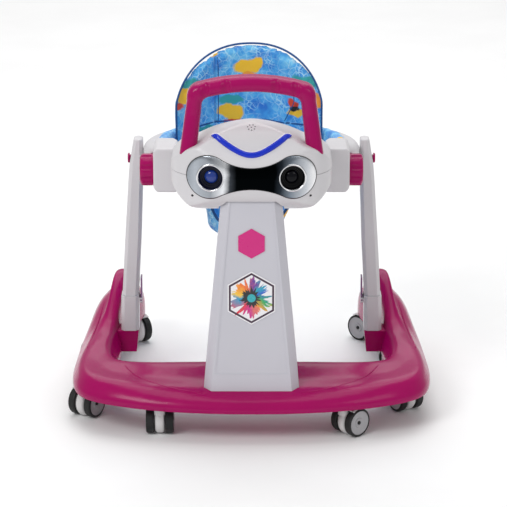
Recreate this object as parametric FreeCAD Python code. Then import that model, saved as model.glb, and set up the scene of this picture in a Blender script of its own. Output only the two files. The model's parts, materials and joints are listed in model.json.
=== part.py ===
import FreeCAD, Part
import math
import os

# Baby walker: a U-shaped base on eight twin-wheel castors, a front column that carries a
# face-shaped console, two side legs, a tray ring, and a fabric seat. Units are millimetres.
# The front faces -Y, +Z is up, and the floor is z = 0.

Vec = FreeCAD.Vector
X_AXIS = Vec(1, 0, 0)
Y_AXIS = Vec(0, 1, 0)
Z_AXIS = Vec(0, 0, 1)

# ---------------------------------------------------------------- driving dimensions
WALL = 2.6                   # moulded wall thickness
BASE_BOTTOM = 56.0           # underside of the base above the floor
BASE_FRONT = -295.0          # front lip of the base at the middle
RING_CENTRE_Y = 40.0         # centre of the round tray
RING_OUTER_R = 196.0
RING_INNER_R = 152.0
RING_BOTTOM = 388.0
RING_TOP = 455.0             # tray height at its centre line
RING_SLOPE = 0.15            # rise of the tray towards the console

WHEEL_R = 25.5
WHEEL_WIDTH = 14.0
WHEEL_OFFSET = 17.0          # wheel centre plane from the middle of the castor
TYRE_THICKNESS = 4.0
AXLE_R = 3.0
STEM_R = 4.0
HUB_R = 6.0
HOOD_THICKNESS = 1.6
HOOD_GAP = 1.0               # between the hood and the tyre
BUSH_R = 7.0
BUSH_LENGTH = 20.0
CASTOR_TRAIL = 17.0
RUNNING_CLEARANCE = 0.05

# name, stem x, stem y, heading of the trail in degrees about +Z from +X
CASTORS = [
    ("front_left", -160.0, -252.0, 90.0),
    ("front_right", 160.0, -252.0, 42.0),
    ("corner_left", -285.0, -138.0, 238.0),
    ("corner_right", 285.0, -138.0, 121.0),
    ("side_left", -283.0, 95.0, 180.0),
    ("side_right", 283.0, 95.0, 180.0),
    ("rear_left", -236.0, 250.0, 303.0),
    ("rear_right", 236.0, 250.0, 137.0),
]

# centre x, centre y, length and width of the rubber pads of one side
PADS = [(226.0, -196.0, 40.0, 22.0), (272.0, -18.0, 22.0, 60.0)]
PAD_BOTTOM = BASE_BOTTOM - 13.0

LEG_Y = 40.0
BOOT_BOTTOM = 98.0
BOOT_TOP = 165.0
BOOT_CENTRE_X = 225.0
TENON_X = 18.0
TENON_Y = 24.0
TENON_BOTTOM = 66.0
LEG_TOP = 462.0
LEG_BOLT_Z = 424.0
LEG_BOLT_R = 6.0
LATCH_X = 204.0
LATCH_Z = 156.0
LATCH_PIN_R = 1.6

KNOB_Y = -57.0
KNOB_Z = 428.0
KNOB_R = 28.5
KNOB_INNER_X = 170.0
KNOB_OUTER_X = 197.0
KNOB_PIN_R = 5.0
KNOB_LOBES = 8

COLUMN_BOTTOM = 66.0
COLUMN_TOP = 470.0
COLUMN_SPLIT_Y = -215.0
COLUMN_FACET = 13.0          # chamfer of the front corners
PANEL_DEPTH = 1.0
SCREW_R = 1.8
SCREW_HEAD_R = 3.3
SCREW_HEAD_LENGTH = 2.4

HEAD_SPLIT_Z = 466.0
HEAD_REAR_Y = -98.0
HEAD_HALF_WIDTH = 138.0
EYE_X = 69.0
EYE_Z = 466.0
EYE_R = 24.0
EYE_RIM = 4.0                # width of the ring round each lens
GRILLE_HOLE_R = 1.3
BUTTON_X = 42.0
BUTTON_R = 14.0
# slope of the console that faces the seat: a point on it and its outward direction
SLOPE_POINT = Vec(0, -136, 519)
SLOPE_OUT = Vec(0, 0.62, 0.785)

HANDLE_Y = -200.0
HANDLE_DEPTH = 30.0

SEAT_TOP_R = 148.5
SEAT_RIM_Z = 436.0
SEAT_FLOOR_Z = 292.0
SEAT_FLOOR_R = 78.0
LEG_HOLE_R = 46.0
CLOTH = 4.0

BACK_OUTER_R = 150.0
BACK_INNER_R = 136.0
BACK_HALF_WIDTH = 138.0
BACK_BOTTOM = 437.0
BACK_TOP = 607.0

os.makedirs("parts", exist_ok=True)


# ---------------------------------------------------------------- helpers
def save(name, solids):
    """Write one node; several solids go in as a compound."""
    pieces = solids if isinstance(solids, list) else [solids]
    shape = pieces[0] if len(pieces) == 1 else Part.makeCompound(pieces)
    shape.exportStep("parts/" + name + ".step")


def box(x0, x1, y0, y1, z0, z1):
    return Part.makeBox(x1 - x0, y1 - y0, z1 - z0, Vec(x0, y0, z0))


def cylinder(radius, start, direction, length):
    return Part.makeCylinder(radius, length, start, direction)


def mirror(shape):
    """The same piece on the other side of the walker."""
    return shape.mirror(Vec(0, 0, 0), X_AXIS)


def prism(points, direction):
    """Straight extrusion of a polygon."""
    edges = [
        Part.LineSegment(a, b).toShape()
        for a, b in zip(points, points[1:] + points[:1])
    ]
    return Part.Face(Part.Wire(edges)).extrude(direction)


def rounded(shape, edges, radius):
    """Round the edges, or keep the sharp shape where the round can't be made."""
    try:
        result = shape.makeFillet(radius, edges)
    except Exception:
        return shape
    return result if result.isValid() and result.Volume > 0 else shape


def only_solid(shape):
    """The largest solid of a boolean result."""
    return max(shape.Solids, key=lambda solid: solid.Volume)


def spline(points):
    curve = Part.BSplineCurve()
    curve.interpolate(points)
    return curve.toShape()


# ---------------------------------------------------------------- base
# Each station crosses the base from its inner to its outer edge, from the middle of the front
# bar round to the rear end of the right arm: outer x and y, inner x and y, height of the crown,
# fullness of the nose, slope of the inner wall and lean of the outer wall.
BASE_STATIONS = [
    (0.0, BASE_FRONT, 0.0, -130.0, 92.0, 0.0, 4.0, 0.0),
    (125.0, -286.0, 112.0, -130.0, 92.0, 0.35, 4.0, 0.0),
    (225.0, -260.0, 190.0, -126.0, 92.0, 0.8, 6.0, 0.0),
    (297.0, -214.0, 230.0, -108.0, 93.0, 1.0, 12.0, 2.0),
    (317.0, -150.0, 239.0, -74.0, 96.0, 1.0, 20.0, 5.0),
    (318.0, -62.0, 241.0, -30.0, 104.0, 0.9, 20.0, 10.0),
    (315.0, 28.0, 241.0, 36.0, 120.0, 0.8, 10.0, 22.0),
    (309.0, 92.0, 239.0, 92.0, 164.0, 0.7, 3.0, 36.0),
    (305.0, 136.0, 232.0, 136.0, 178.0, 0.7, 3.0, 38.0),
    (300.0, 182.0, 219.0, 182.0, 158.0, 0.7, 3.0, 34.0),
    (290.0, 234.0, 209.0, 234.0, 110.0, 0.8, 3.0, 22.0),
    (274.0, 274.0, 212.0, 274.0, 94.0, 0.8, 3.0, 12.0),
    (258.0, 290.0, 225.0, 290.0, 84.0, 0.8, 3.0, 6.0),
]


def base_section(station, inset, bottom):
    """Closed outline of the base across one station."""
    outer_x, outer_y, inner_x, inner_y, crown, nose, chamfer, lean = station
    outer = Vec(outer_x, outer_y, 0)
    inner = Vec(inner_x, inner_y, 0)
    across = outer - inner
    width = across.Length - 2 * inset
    across.normalize()
    origin = inner + across * inset
    top = crown - inset
    rise = top - BASE_BOTTOM

    def at(distance, height):
        return origin + across * distance + Z_AXIS * height

    shoulder = min(0.45 * width, 10.0 + 24.0 * (1.0 - nose))
    over = [
        at(width, bottom),
        at(width + 2.0 * nose - 0.15 * lean, BASE_BOTTOM + 0.25 * rise),
        at(width - 0.35 * shoulder - 0.55 * lean, BASE_BOTTOM + 0.6 * rise),
        at(width - shoulder - 0.8 * lean, BASE_BOTTOM + 0.84 * rise),
        at((0.5 - 0.005 * lean) * width, top),
        at(chamfer + 3.0, top - 1.0),
        at(0.6 * chamfer, BASE_BOTTOM + 0.72 * rise),
        at(0.0, BASE_BOTTOM + 0.25 * rise),
        at(0.0, bottom),
    ]
    floor = Part.LineSegment(over[-1], over[0]).toShape()
    return Part.Wire([spline(over), floor])


def base_loft(inset, bottom):
    right = BASE_STATIONS[1:]
    left = [(-s[0], s[1], -s[2], s[3]) + s[4:] for s in reversed(right)]
    stations = left + [BASE_STATIONS[0]] + right
    if inset:
        ends = {0, len(stations) - 1}
        stations = [
            s[:1] + (s[1] - 4.0,) + s[2:3] + (s[3] - 4.0,) + s[4:] if i in ends else s
            for i, s in enumerate(stations)
        ]
    wires = [base_section(s, inset, bottom) for s in stations]
    return Part.makeLoft(wires, True, False)


def leg_lug(side):
    """Step on the inner wall of the arm that the leg boot stands on."""
    x_in = BOOT_CENTRE_X - 16.0
    outline = [
        Vec(x_in, LEG_Y - 22, BOOT_BOTTOM),
        Vec(250.0, LEG_Y - 22, BOOT_BOTTOM),
        Vec(250.0, LEG_Y - 22, BASE_BOTTOM + 2),
        Vec(x_in + 4, LEG_Y - 22, BASE_BOTTOM + 2),
    ]
    lug = prism(outline, Vec(0, 44, 0))
    return lug if side > 0 else mirror(lug)


def tenon_bore(side):
    gap = 0.4
    half_x = TENON_X / 2 + gap
    half_y = TENON_Y / 2 + gap
    bore = box(
        BOOT_CENTRE_X - half_x, BOOT_CENTRE_X + half_x,
        LEG_Y - half_y, LEG_Y + half_y,
        TENON_BOTTOM - 2, BOOT_TOP + 10,
    )
    return bore if side > 0 else mirror(bore)


def make_base(column):
    outside = base_loft(0.0, BASE_BOTTOM)
    hollow = base_loft(WALL, BASE_BOTTOM - 10)
    shell = outside.cut(hollow)
    for _, x, y, _ in CASTORS:
        boss = cylinder(11.0, Vec(x, y, BASE_BOTTOM + 1), Z_AXIS, 140).common(outside)
        shell = shell.fuse(boss)
    seat = box(-94, 94, -274, -172, BASE_BOTTOM + 1, 120).common(outside)
    shell = shell.fuse(seat)
    for block in pad_blocks(BASE_BOTTOM + 2, 140):
        shell = shell.fuse(block.common(outside))
    for side in (1, -1):
        shell = shell.fuse(leg_lug(side))
    for _, x, y, _ in CASTORS:
        shell = shell.cut(cylinder(BUSH_R, Vec(x, y, BASE_BOTTOM - 1), Z_AXIS, BUSH_LENGTH + 1))
    for side in (1, -1):
        shell = shell.cut(tenon_bore(side))
    shell = shell.cut(column)
    return only_solid(shell)


# ---------------------------------------------------------------- castors
def castor_parts():
    """One castor with its trail along +X, its stem on the Z axis and the floor at z = 0."""
    axle_centre = Vec(CASTOR_TRAIL, 0, WHEEL_R)
    face = WHEEL_OFFSET + WHEEL_WIDTH / 2

    hood_inner = WHEEL_R + HOOD_GAP
    hood_outer = hood_inner + HOOD_THICKNESS
    half = WHEEL_OFFSET + WHEEL_WIDTH / 2 + 0.5
    hood = cylinder(hood_outer, axle_centre - Y_AXIS * half, Y_AXIS, 2 * half)
    hood = hood.cut(cylinder(hood_inner, axle_centre - Y_AXIS * (half + 1), Y_AXIS, 2 * half + 2))
    keep = box(-40, CASTOR_TRAIL + 2, -half, half, WHEEL_R + 9, WHEEL_R + 40)
    hood = hood.common(keep)
    web_half = WHEEL_OFFSET - WHEEL_WIDTH / 2 - 1.0
    web = cylinder(hood_inner + 0.3, axle_centre - Y_AXIS * web_half, Y_AXIS, 2 * web_half)
    web = web.common(box(-40, CASTOR_TRAIL + 12, -web_half, web_half, 10, 100))
    collar = cylinder(8.0, Vec(0, 0, WHEEL_R + 4), Z_AXIS, BASE_BOTTOM - WHEEL_R - 4.5)
    collar = collar.cut(box(-20, 20, web_half, 20, 0, WHEEL_R + 27.0))
    collar = collar.cut(box(-20, 20, -20, -web_half, 0, WHEEL_R + 27.0))
    stem = cylinder(STEM_R, Vec(0, 0, WHEEL_R + 6), Z_AXIS, BASE_BOTTOM + BUSH_LENGTH - WHEEL_R - 8)
    fork = hood.fuse([web, collar, stem])
    fork = fork.cut(cylinder(AXLE_R + RUNNING_CLEARANCE, axle_centre - Y_AXIS * 20, Y_AXIS, 40))

    rims = []
    tyres = []
    rim_r = WHEEL_R - TYRE_THICKNESS
    for side in (1, -1):
        start = axle_centre + Y_AXIS * side * (WHEEL_OFFSET - WHEEL_WIDTH / 2)
        out = Y_AXIS * side
        wheel = cylinder(WHEEL_R, start, out, WHEEL_WIDTH)
        corner_edges = [e for e in wheel.Edges if abs(e.Length - 2 * math.pi * WHEEL_R) < 0.1]
        wheel = rounded(wheel, corner_edges, 3.0)
        rim = cylinder(rim_r, start, out, WHEEL_WIDTH - 1.0)
        dish = cylinder(rim_r - 2.5, start + out * (WHEEL_WIDTH - 3.0), out, 5)
        hub = cylinder(HUB_R, start + out * (WHEEL_WIDTH - 5.0), out, 4.5)
        tyre = wheel.cut(cylinder(rim_r, start - out, out, WHEEL_WIDTH + 2))
        rim = rim.cut(dish).fuse(hub)
        rim = rim.cut(cylinder(AXLE_R, start - out, out, WHEEL_WIDTH - 2))
        rims.append(only_solid(rim))
        tyres.append(only_solid(tyre))
    reach = face - 4.0
    axle = cylinder(AXLE_R, axle_centre - Y_AXIS * reach, Y_AXIS, 2 * reach)
    rims.append(axle)
    return only_solid(fork), rims, tyres


def place_castor(shape, x, y, heading):
    copy = shape.copy()
    copy.rotate(Vec(0, 0, 0), Z_AXIS, heading)
    copy.translate(Vec(x, y, 0))
    return copy


def make_castors():
    fork, rims, tyres = castor_parts()
    for name, x, y, heading in CASTORS:
        save("castor_" + name + "_fork", place_castor(fork, x, y, heading))
        save("castor_" + name + "_rims", [place_castor(r, x, y, heading) for r in rims])
        save("castor_" + name + "_tyres", [place_castor(t, x, y, heading) for t in tyres])


def make_sockets():
    sockets = []
    for _, x, y, _ in CASTORS:
        bush = cylinder(BUSH_R, Vec(x, y, BASE_BOTTOM), Z_AXIS, BUSH_LENGTH)
        bore = cylinder(STEM_R + RUNNING_CLEARANCE, Vec(x, y, BASE_BOTTOM - 1), Z_AXIS, BUSH_LENGTH + 2)
        sockets.append(bush.cut(bore))
    save("castor_sockets", sockets)


def pad_blocks(bottom, top):
    return [
        box(
            side * x - length / 2, side * x + length / 2,
            y - width / 2, y + width / 2, bottom, top,
        )
        for x, y, length, width in PADS
        for side in (1, -1)
    ]


def make_stopper_pads():
    """Rubber pads that grip a step's edge when a wheel runs off it."""
    save("stopper_pads", pad_blocks(PAD_BOTTOM, BASE_BOTTOM + 2))


# ---------------------------------------------------------------- column
def column_block(inset, bottom, top):
    """Tapered column with chamfered front corners; its front leans back slightly."""
    def outline(z):
        t = (z - COLUMN_BOTTOM) / (COLUMN_TOP - COLUMN_BOTTOM)
        half = 84.5 + t * (47.0 - 84.5) - inset
        front = -263.0 + t * 20.0 + inset
        rear = -182.0 - inset
        return [
            Vec(-half + COLUMN_FACET, front, z), Vec(half - COLUMN_FACET, front, z),
            Vec(half, front + COLUMN_FACET, z), Vec(half, rear, z),
            Vec(-half, rear, z), Vec(-half, front + COLUMN_FACET, z),
        ]

    wires = []
    for z in (bottom, top):
        points = outline(z)
        wires.append(Part.makePolygon(points + points[:1]))
    return Part.makeLoft(wires, True, True)


def hexagon(centre_z, radius):
    """Hexagonal prism through the column's front, point up."""
    points = [
        Vec(radius * math.sin(math.radians(60 * k)), -300,
            centre_z + radius * math.cos(math.radians(60 * k)))
        for k in range(6)
    ]
    return prism(points, Vec(0, 80, 0))


def make_column():
    outside = column_block(0.0, COLUMN_BOTTOM, COLUMN_TOP)
    hollow = column_block(WALL, COLUMN_BOTTOM + 4, COLUMN_TOP - 4)
    shell = outside.cut(hollow)
    panel_outline = [
        Vec(-62, -300, 117), Vec(62, -300, 117), Vec(34, -300, 440), Vec(-34, -300, 440),
    ]
    skin = outside.cut(column_block(PANEL_DEPTH, COLUMN_BOTTOM - 9, COLUMN_TOP + 9))
    panel = prism(panel_outline, Vec(0, 80, 0)).common(skin)
    shell = shell.cut(panel)
    badge_skin = column_block(-0.4, COLUMN_BOTTOM, COLUMN_TOP)
    badge_skin = badge_skin.cut(column_block(PANEL_DEPTH, COLUMN_BOTTOM - 9, COLUMN_TOP + 9))
    for name, z, radius in (("badge_small", 349.0, 26.0), ("badge_large", 253.0, 47.0)):
        badge = only_solid(hexagon(z, radius).common(badge_skin))
        save(name, badge)

    seam = box(-200, 200, COLUMN_SPLIT_Y, 0, 0, 600)
    front = shell.cut(seam)
    rear = shell.common(seam)
    screws = []
    for x, z in ((-50, 130), (50, 130), (-38, 300), (38, 300)):
        post = cylinder(5.0, Vec(x, -250, z), Y_AXIS, 250 - 184.0)
        post = post.common(column_block(0.5, COLUMN_BOTTOM, COLUMN_TOP))
        front = front.fuse(post.cut(seam))
        rear = rear.fuse(post.common(seam))
        hole = cylinder(SCREW_R, Vec(x, -231, z), Y_AXIS, 60)
        sink = cylinder(SCREW_HEAD_R + 0.1, Vec(x, -200, z), Y_AXIS, 30)
        front = front.cut(hole)
        rear = rear.cut(hole).cut(sink)
        shank = cylinder(SCREW_R, Vec(x, -230, z), Y_AXIS, 30)
        head = cylinder(SCREW_HEAD_R, Vec(x, -200, z), Y_AXIS, SCREW_HEAD_LENGTH)
        screws.append(only_solid(shank.fuse(head)))
    save("column_front", only_solid(front))
    save("column_rear", only_solid(rear))
    save("base_screws", screws)
    return outside


# ---------------------------------------------------------------- console (head)
def head_block(inset):
    """Outside of the console, or a smaller copy of it for hollows and inlays."""
    half = HEAD_HALF_WIDTH - inset
    low = 396.0 + inset
    dome = 553.0 - inset
    rear = HEAD_REAR_Y - inset
    front = -262.0 + inset

    def flat(points):
        return [Vec(x, -330, z) for x, z in points]

    # front view: flat bottom, cheeks, straight sides, shoulders and a round crown
    p = flat([(-88, low), (88, low), (half, 430), (half, 478), (90, dome - 27), (-90, dome - 27),
              (-half, 478), (-half, 430)])
    cheek = Vec(0.93 * half, -330, low + 9)
    left_cheek = Vec(-0.93 * half, -330, low + 9)
    shoulder = Vec(118 - 0.8 * inset, -330, 507 - 0.5 * inset)
    left_shoulder = Vec(-118 + 0.8 * inset, -330, 507 - 0.5 * inset)
    edges = [
        Part.LineSegment(p[0], p[1]).toShape(),
        Part.Arc(p[1], cheek, p[2]).toShape(),
        Part.LineSegment(p[2], p[3]).toShape(),
        Part.Arc(p[3], shoulder, p[4]).toShape(),
        Part.Arc(p[4], Vec(0, -330, dome), p[5]).toShape(),
        Part.Arc(p[5], left_shoulder, p[6]).toShape(),
        Part.LineSegment(p[6], p[7]).toShape(),
        Part.Arc(p[7], left_cheek, p[0]).toShape(),
    ]
    front_view = Part.Face(Part.Wire(edges)).extrude(Vec(0, 330, 0))

    # side view: chin, face, sloping forehead, crown and the slope facing the seat
    q = [Vec(-200, y, z) for y, z in (
        (rear, low), (-236, low), (front + 4, low + 34), (front, 470), (-244 + inset, 512),
        (-196, dome), (-176, dome - 1), (rear, 480 - inset))]
    side_edges = [
        Part.LineSegment(q[0], q[1]).toShape(),
        Part.Arc(q[1], Vec(-200, front + 13, low + 11), q[2]).toShape(),
        Part.Arc(q[2], Vec(-200, front - 1, low + 56), q[3]).toShape(),
        Part.Arc(q[3], Vec(-200, front + 5, 493), q[4]).toShape(),
        Part.Arc(q[4], Vec(-200, -225 + 0.8 * inset, 538 - 0.8 * inset), q[5]).toShape(),
        Part.LineSegment(q[5], q[6]).toShape(),
        Part.Arc(q[6], Vec(-200, -136, 521 - inset), q[7]).toShape(),
        Part.LineSegment(q[7], q[0]).toShape(),
    ]
    side_view = Part.Face(Part.Wire(side_edges)).extrude(Vec(400, 0, 0))

    # plan view: wide rear, rounded front corners and a bowed face
    r = [Vec(x, y, 380) for x, y in (
        (half, rear), (half, -170), (112 - inset, -232 + inset), (-112 + inset, -232 + inset),
        (-half, -170), (-half, rear))]
    plan_edges = [
        Part.LineSegment(r[0], r[1]).toShape(),
        Part.Arc(r[1], Vec(half - 6.5, -207 + 0.5 * inset, 380), r[2]).toShape(),
        Part.Arc(r[2], Vec(0, -264.0 + inset, 380), r[3]).toShape(),
        Part.Arc(r[3], Vec(-half + 6.5, -207 + 0.5 * inset, 380), r[4]).toShape(),
        Part.LineSegment(r[4], r[5]).toShape(),
        Part.LineSegment(r[5], r[0]).toShape(),
    ]
    plan_view = Part.Face(Part.Wire(plan_edges)).extrude(Vec(0, 0, 200))
    return only_solid(front_view.common(side_view).common(plan_view))


def tray_well(radius):
    return cylinder(radius, Vec(0, RING_CENTRE_Y, 300), Z_AXIS, 300)


def peanut():
    """Mask outline: two round lobes and a narrow waist, extruded through the face."""
    lobe_r = 38.0
    waist = 17.0
    lobe_x = 72.0
    centre_z = 468.0
    left = cylinder(lobe_r, Vec(-lobe_x, -300, centre_z), Y_AXIS, 120)
    right = cylinder(lobe_r, Vec(lobe_x, -300, centre_z), Y_AXIS, 120)
    y = -300
    a, b = 52.0, 32.5
    top = Part.Arc(Vec(-a, y, centre_z + b), Vec(0, y, centre_z + waist), Vec(a, y, centre_z + b))
    low = Part.Arc(Vec(a, y, centre_z - b), Vec(0, y, centre_z - waist - 2), Vec(-a, y, centre_z - b))
    ends = [
        Part.LineSegment(Vec(a, y, centre_z + b), Vec(a, y, centre_z - b)).toShape(),
        Part.LineSegment(Vec(-a, y, centre_z - b), Vec(-a, y, centre_z + b)).toShape(),
    ]
    bridge = Part.Face(Part.Wire([top.toShape(), ends[0], low.toShape(), ends[1]]))
    return left.fuse(right).fuse(bridge.extrude(Vec(0, 120, 0)))


def strip_prism():
    """V-shaped light bar with a round bottom, extruded through the forehead."""
    y = -300
    top_z, low_z, half, thick = 541.0, 502.0, 67.0, 8.0
    outer = Part.Arc(Vec(-half, y, top_z - 4), Vec(0, y, low_z), Vec(half, y, top_z - 4))
    inner = Part.Arc(Vec(half - 4, y, top_z + 4), Vec(0, y, low_z + thick), Vec(-half + 4, y, top_z + 4))
    right = Part.LineSegment(Vec(half, y, top_z - 4), Vec(half - 4, y, top_z + 4))
    left = Part.LineSegment(Vec(-half + 4, y, top_z + 4), Vec(-half, y, top_z - 4))
    wire = Part.Wire([outer.toShape(), right.toShape(), inner.toShape(), left.toShape()])
    return Part.Face(wire).extrude(Vec(0, 150, 0))


def slope_axis(x, depth):
    """A point under the slope, on the line through x."""
    return Vec(x, SLOPE_POINT.y, SLOPE_POINT.z) - SLOPE_OUT * depth


def make_head(column):
    outside = head_block(0.0)
    hollow = head_block(WALL)
    well = tray_well(RING_INNER_R)
    shell = outside.cut(hollow.cut(tray_well(RING_INNER_R + WALL))).cut(well)

    mask_zone = peanut()
    mask_skin = head_block(-1.6).cut(head_block(1.2))
    mask = only_solid(mask_zone.common(mask_skin).common(box(-200, 200, -300, -170, 380, 600)))
    rings = []
    lenses = []
    for side in (1, -1):
        start = Vec(side * EYE_X, -300, EYE_Z)
        socket = cylinder(EYE_R, start, Y_AXIS, 70)
        mask = mask.cut(socket)
        shell = shell.cut(cylinder(EYE_R, start, Y_AXIS, 70))
        ring = cylinder(EYE_R, Vec(side * EYE_X, -257, EYE_Z), Y_AXIS, 20)
        ring = ring.cut(cylinder(EYE_R - EYE_RIM, Vec(side * EYE_X, -258, EYE_Z), Y_AXIS, 17))
        ring_edges = [e for e in ring.Edges if abs(e.CenterOfMass.y + 257) < 0.01]
        rings.append(only_solid(rounded(ring, ring_edges, 1.2)))
        dome = Part.makeSphere(24.0, Vec(side * EYE_X, -228, EYE_Z))
        barrel = cylinder(EYE_R - EYE_RIM, Vec(side * EYE_X, -262, EYE_Z), Y_AXIS, 21)
        lenses.append(only_solid(dome.common(barrel)))
    shell = shell.cut(mask_zone.common(head_block(-3).cut(head_block(1.2))).common(
        box(-200, 200, -300, -170, 380, 600)))
    save("face_mask", only_solid(mask))
    save("eye_rings", rings)
    save("eye_lenses", lenses)

    strip_skin = head_block(-1.2).cut(head_block(1.3))
    above_mask = box(-200, 200, -300, -196, 498, 600)
    strip = only_solid(strip_prism().common(strip_skin).common(above_mask))
    shell = shell.cut(strip)
    save("light_strip", strip)

    # opening for the column, with a small notch each side
    shell = shell.cut(column_block(-1.0, COLUMN_BOTTOM, HEAD_SPLIT_Z))
    shell = shell.cut(box(-62, 62, -232, -218, 380, 402))

    # speaker grille
    normal = Vec(0, -0.5, 0.866)
    grille_centre = Vec(0, -214, 545)
    for radius, count in ((0.0, 1), (6.5, 8)):
        for k in range(count):
            angle = 2 * math.pi * k / count
            offset = Vec(math.cos(angle), 0, 0) * radius
            offset = offset + Vec(0, 0.866, 0.5) * radius * math.sin(angle)
            shell = shell.cut(cylinder(GRILLE_HOLE_R, grille_centre + offset - normal * 12, normal, 24))
    speaker_start = grille_centre - normal * 22
    speaker = cylinder(20.0, speaker_start, normal, 8)
    speaker = speaker.fuse(cylinder(11.0, speaker_start - normal * 7, normal, 8))
    save("speaker", only_solid(speaker.common(head_block(WALL + 0.2))))

    # play buttons and switch on the slope that faces the seat
    for side, name in ((-1, "play_button_left"), (1, "play_button_right")):
        x = side * BUTTON_X
        shell = shell.cut(cylinder(BUTTON_R + 0.5, slope_axis(x, 16), SLOPE_OUT, 40))
        cap = cylinder(BUTTON_R, slope_axis(x, 9), SLOPE_OUT, 14.5)
        edge = max(cap.Edges, key=lambda e: e.CenterOfMass.z)
        cap = rounded(cap, [edge], 3.0)
        foot = cylinder(BUTTON_R + 2.5, slope_axis(x, 9), SLOPE_OUT, 2.0)
        save(name, only_solid(cap.fuse(foot)))
    slot = box(-9, 9, -4, 4, -20, 20)
    slot.rotate(Vec(0, 0, 0), X_AXIS, -math.degrees(math.atan2(SLOPE_OUT.y, SLOPE_OUT.z)))
    slot.translate(SLOPE_POINT)
    shell = shell.cut(slot)
    slider = box(-9.0, 1.0, -3.6, 3.6, -6, 3.0)
    slider = slider.fuse(box(-13, 5, -6.5, 6.5, -9, -6))
    slider.rotate(Vec(0, 0, 0), X_AXIS, -math.degrees(math.atan2(SLOPE_OUT.y, SLOPE_OUT.z)))
    slider.translate(SLOPE_POINT + X_AXIS * 0.5)
    save("power_switch", only_solid(slider))

    # battery door under the console, behind the column
    door_zone = box(-48, 48, -172, -124, 390, 396 + WALL)
    door = only_solid(door_zone.common(outside))
    shell = shell.cut(door)
    save("battery_door", door)

    board = box(-60, 60, -176, -130, 478, 480)
    save("circuit_board", only_solid(board.cut(tray_well(RING_INNER_R + WALL + 1))))

    split = box(-200, 200, -400, 0, HEAD_SPLIT_Z, 700)
    upper = shell.common(split)
    lower = shell.cut(split)
    screws = []
    for side in (1, -1):
        x = side * 112
        y = -128
        post = cylinder(6.0, Vec(x, y, 380), Z_AXIS, 180).common(outside)
        upper = upper.fuse(post.common(split))
        lower = lower.fuse(post.cut(split))
        lower = lower.cut(cylinder(SCREW_HEAD_R + 0.3, Vec(x, y, 380), Z_AXIS, 70))
        lower = lower.cut(cylinder(SCREW_R, Vec(x, y, 380), Z_AXIS, 110))
        upper = upper.cut(cylinder(SCREW_R, Vec(x, y, 380), Z_AXIS, 103))
        shank = cylinder(SCREW_R, Vec(x, y, 450), Z_AXIS, 32)
        head_start = Vec(x, y, 450 - SCREW_HEAD_LENGTH)
        screw_head = cylinder(SCREW_HEAD_R, head_start, Z_AXIS, SCREW_HEAD_LENGTH)
        screws.append(only_solid(shank.fuse(screw_head)))
    save("head_screws", screws)
    save("head_upper_shell", only_solid(upper))
    save("head_lower_shell", only_solid(lower))
    return outside


# ---------------------------------------------------------------- handle
def make_handle(head):
    """Arched handle: straight legs that open downwards, a level bar and rounded corners."""
    y = HANDLE_Y - HANDLE_DEPTH / 2
    outer = [(-121, 470), (-104, 597), (-93, 621), (0, 631), (93, 621), (104, 597), (121, 470)]
    inner = [(88, 470), (82, 584), (75, 596), (0, 605), (-75, 596), (-82, 584), (-88, 470)]

    def curve(points):
        p = [Vec(x, y, z) for x, z in points]
        mid_right = p[4] + (p[5] - p[4]) * 0.5 + Vec(math.copysign(2.5, p[4].x), 0, 2.5)
        mid_left = p[1] + (p[2] - p[1]) * 0.5 + Vec(math.copysign(2.5, p[1].x), 0, 2.5)
        return [
            Part.LineSegment(p[0], p[1]).toShape(),
            Part.Arc(p[1], mid_left, p[2]).toShape(),
            Part.Arc(p[2], p[3], p[4]).toShape(),
            Part.Arc(p[4], mid_right, p[5]).toShape(),
            Part.LineSegment(p[5], p[6]).toShape(),
        ]

    feet = [
        Part.LineSegment(Vec(121, y, 470), Vec(88, y, 470)).toShape(),
        Part.LineSegment(Vec(-88, y, 470), Vec(-121, y, 470)).toShape(),
    ]
    wire = Part.Wire(curve(outer) + [feet[0]] + curve(inner) + [feet[1]])
    bow = Part.Face(wire).extrude(Vec(0, HANDLE_DEPTH, 0))
    rims = [e for e in bow.Edges if abs(e.CenterOfMass.y - HANDLE_Y) > HANDLE_DEPTH / 2 - 0.1
            and e.CenterOfMass.z > 475]
    bow = rounded(bow, rims, 7.0)
    save("carry_handle", only_solid(bow.cut(head)))


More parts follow.
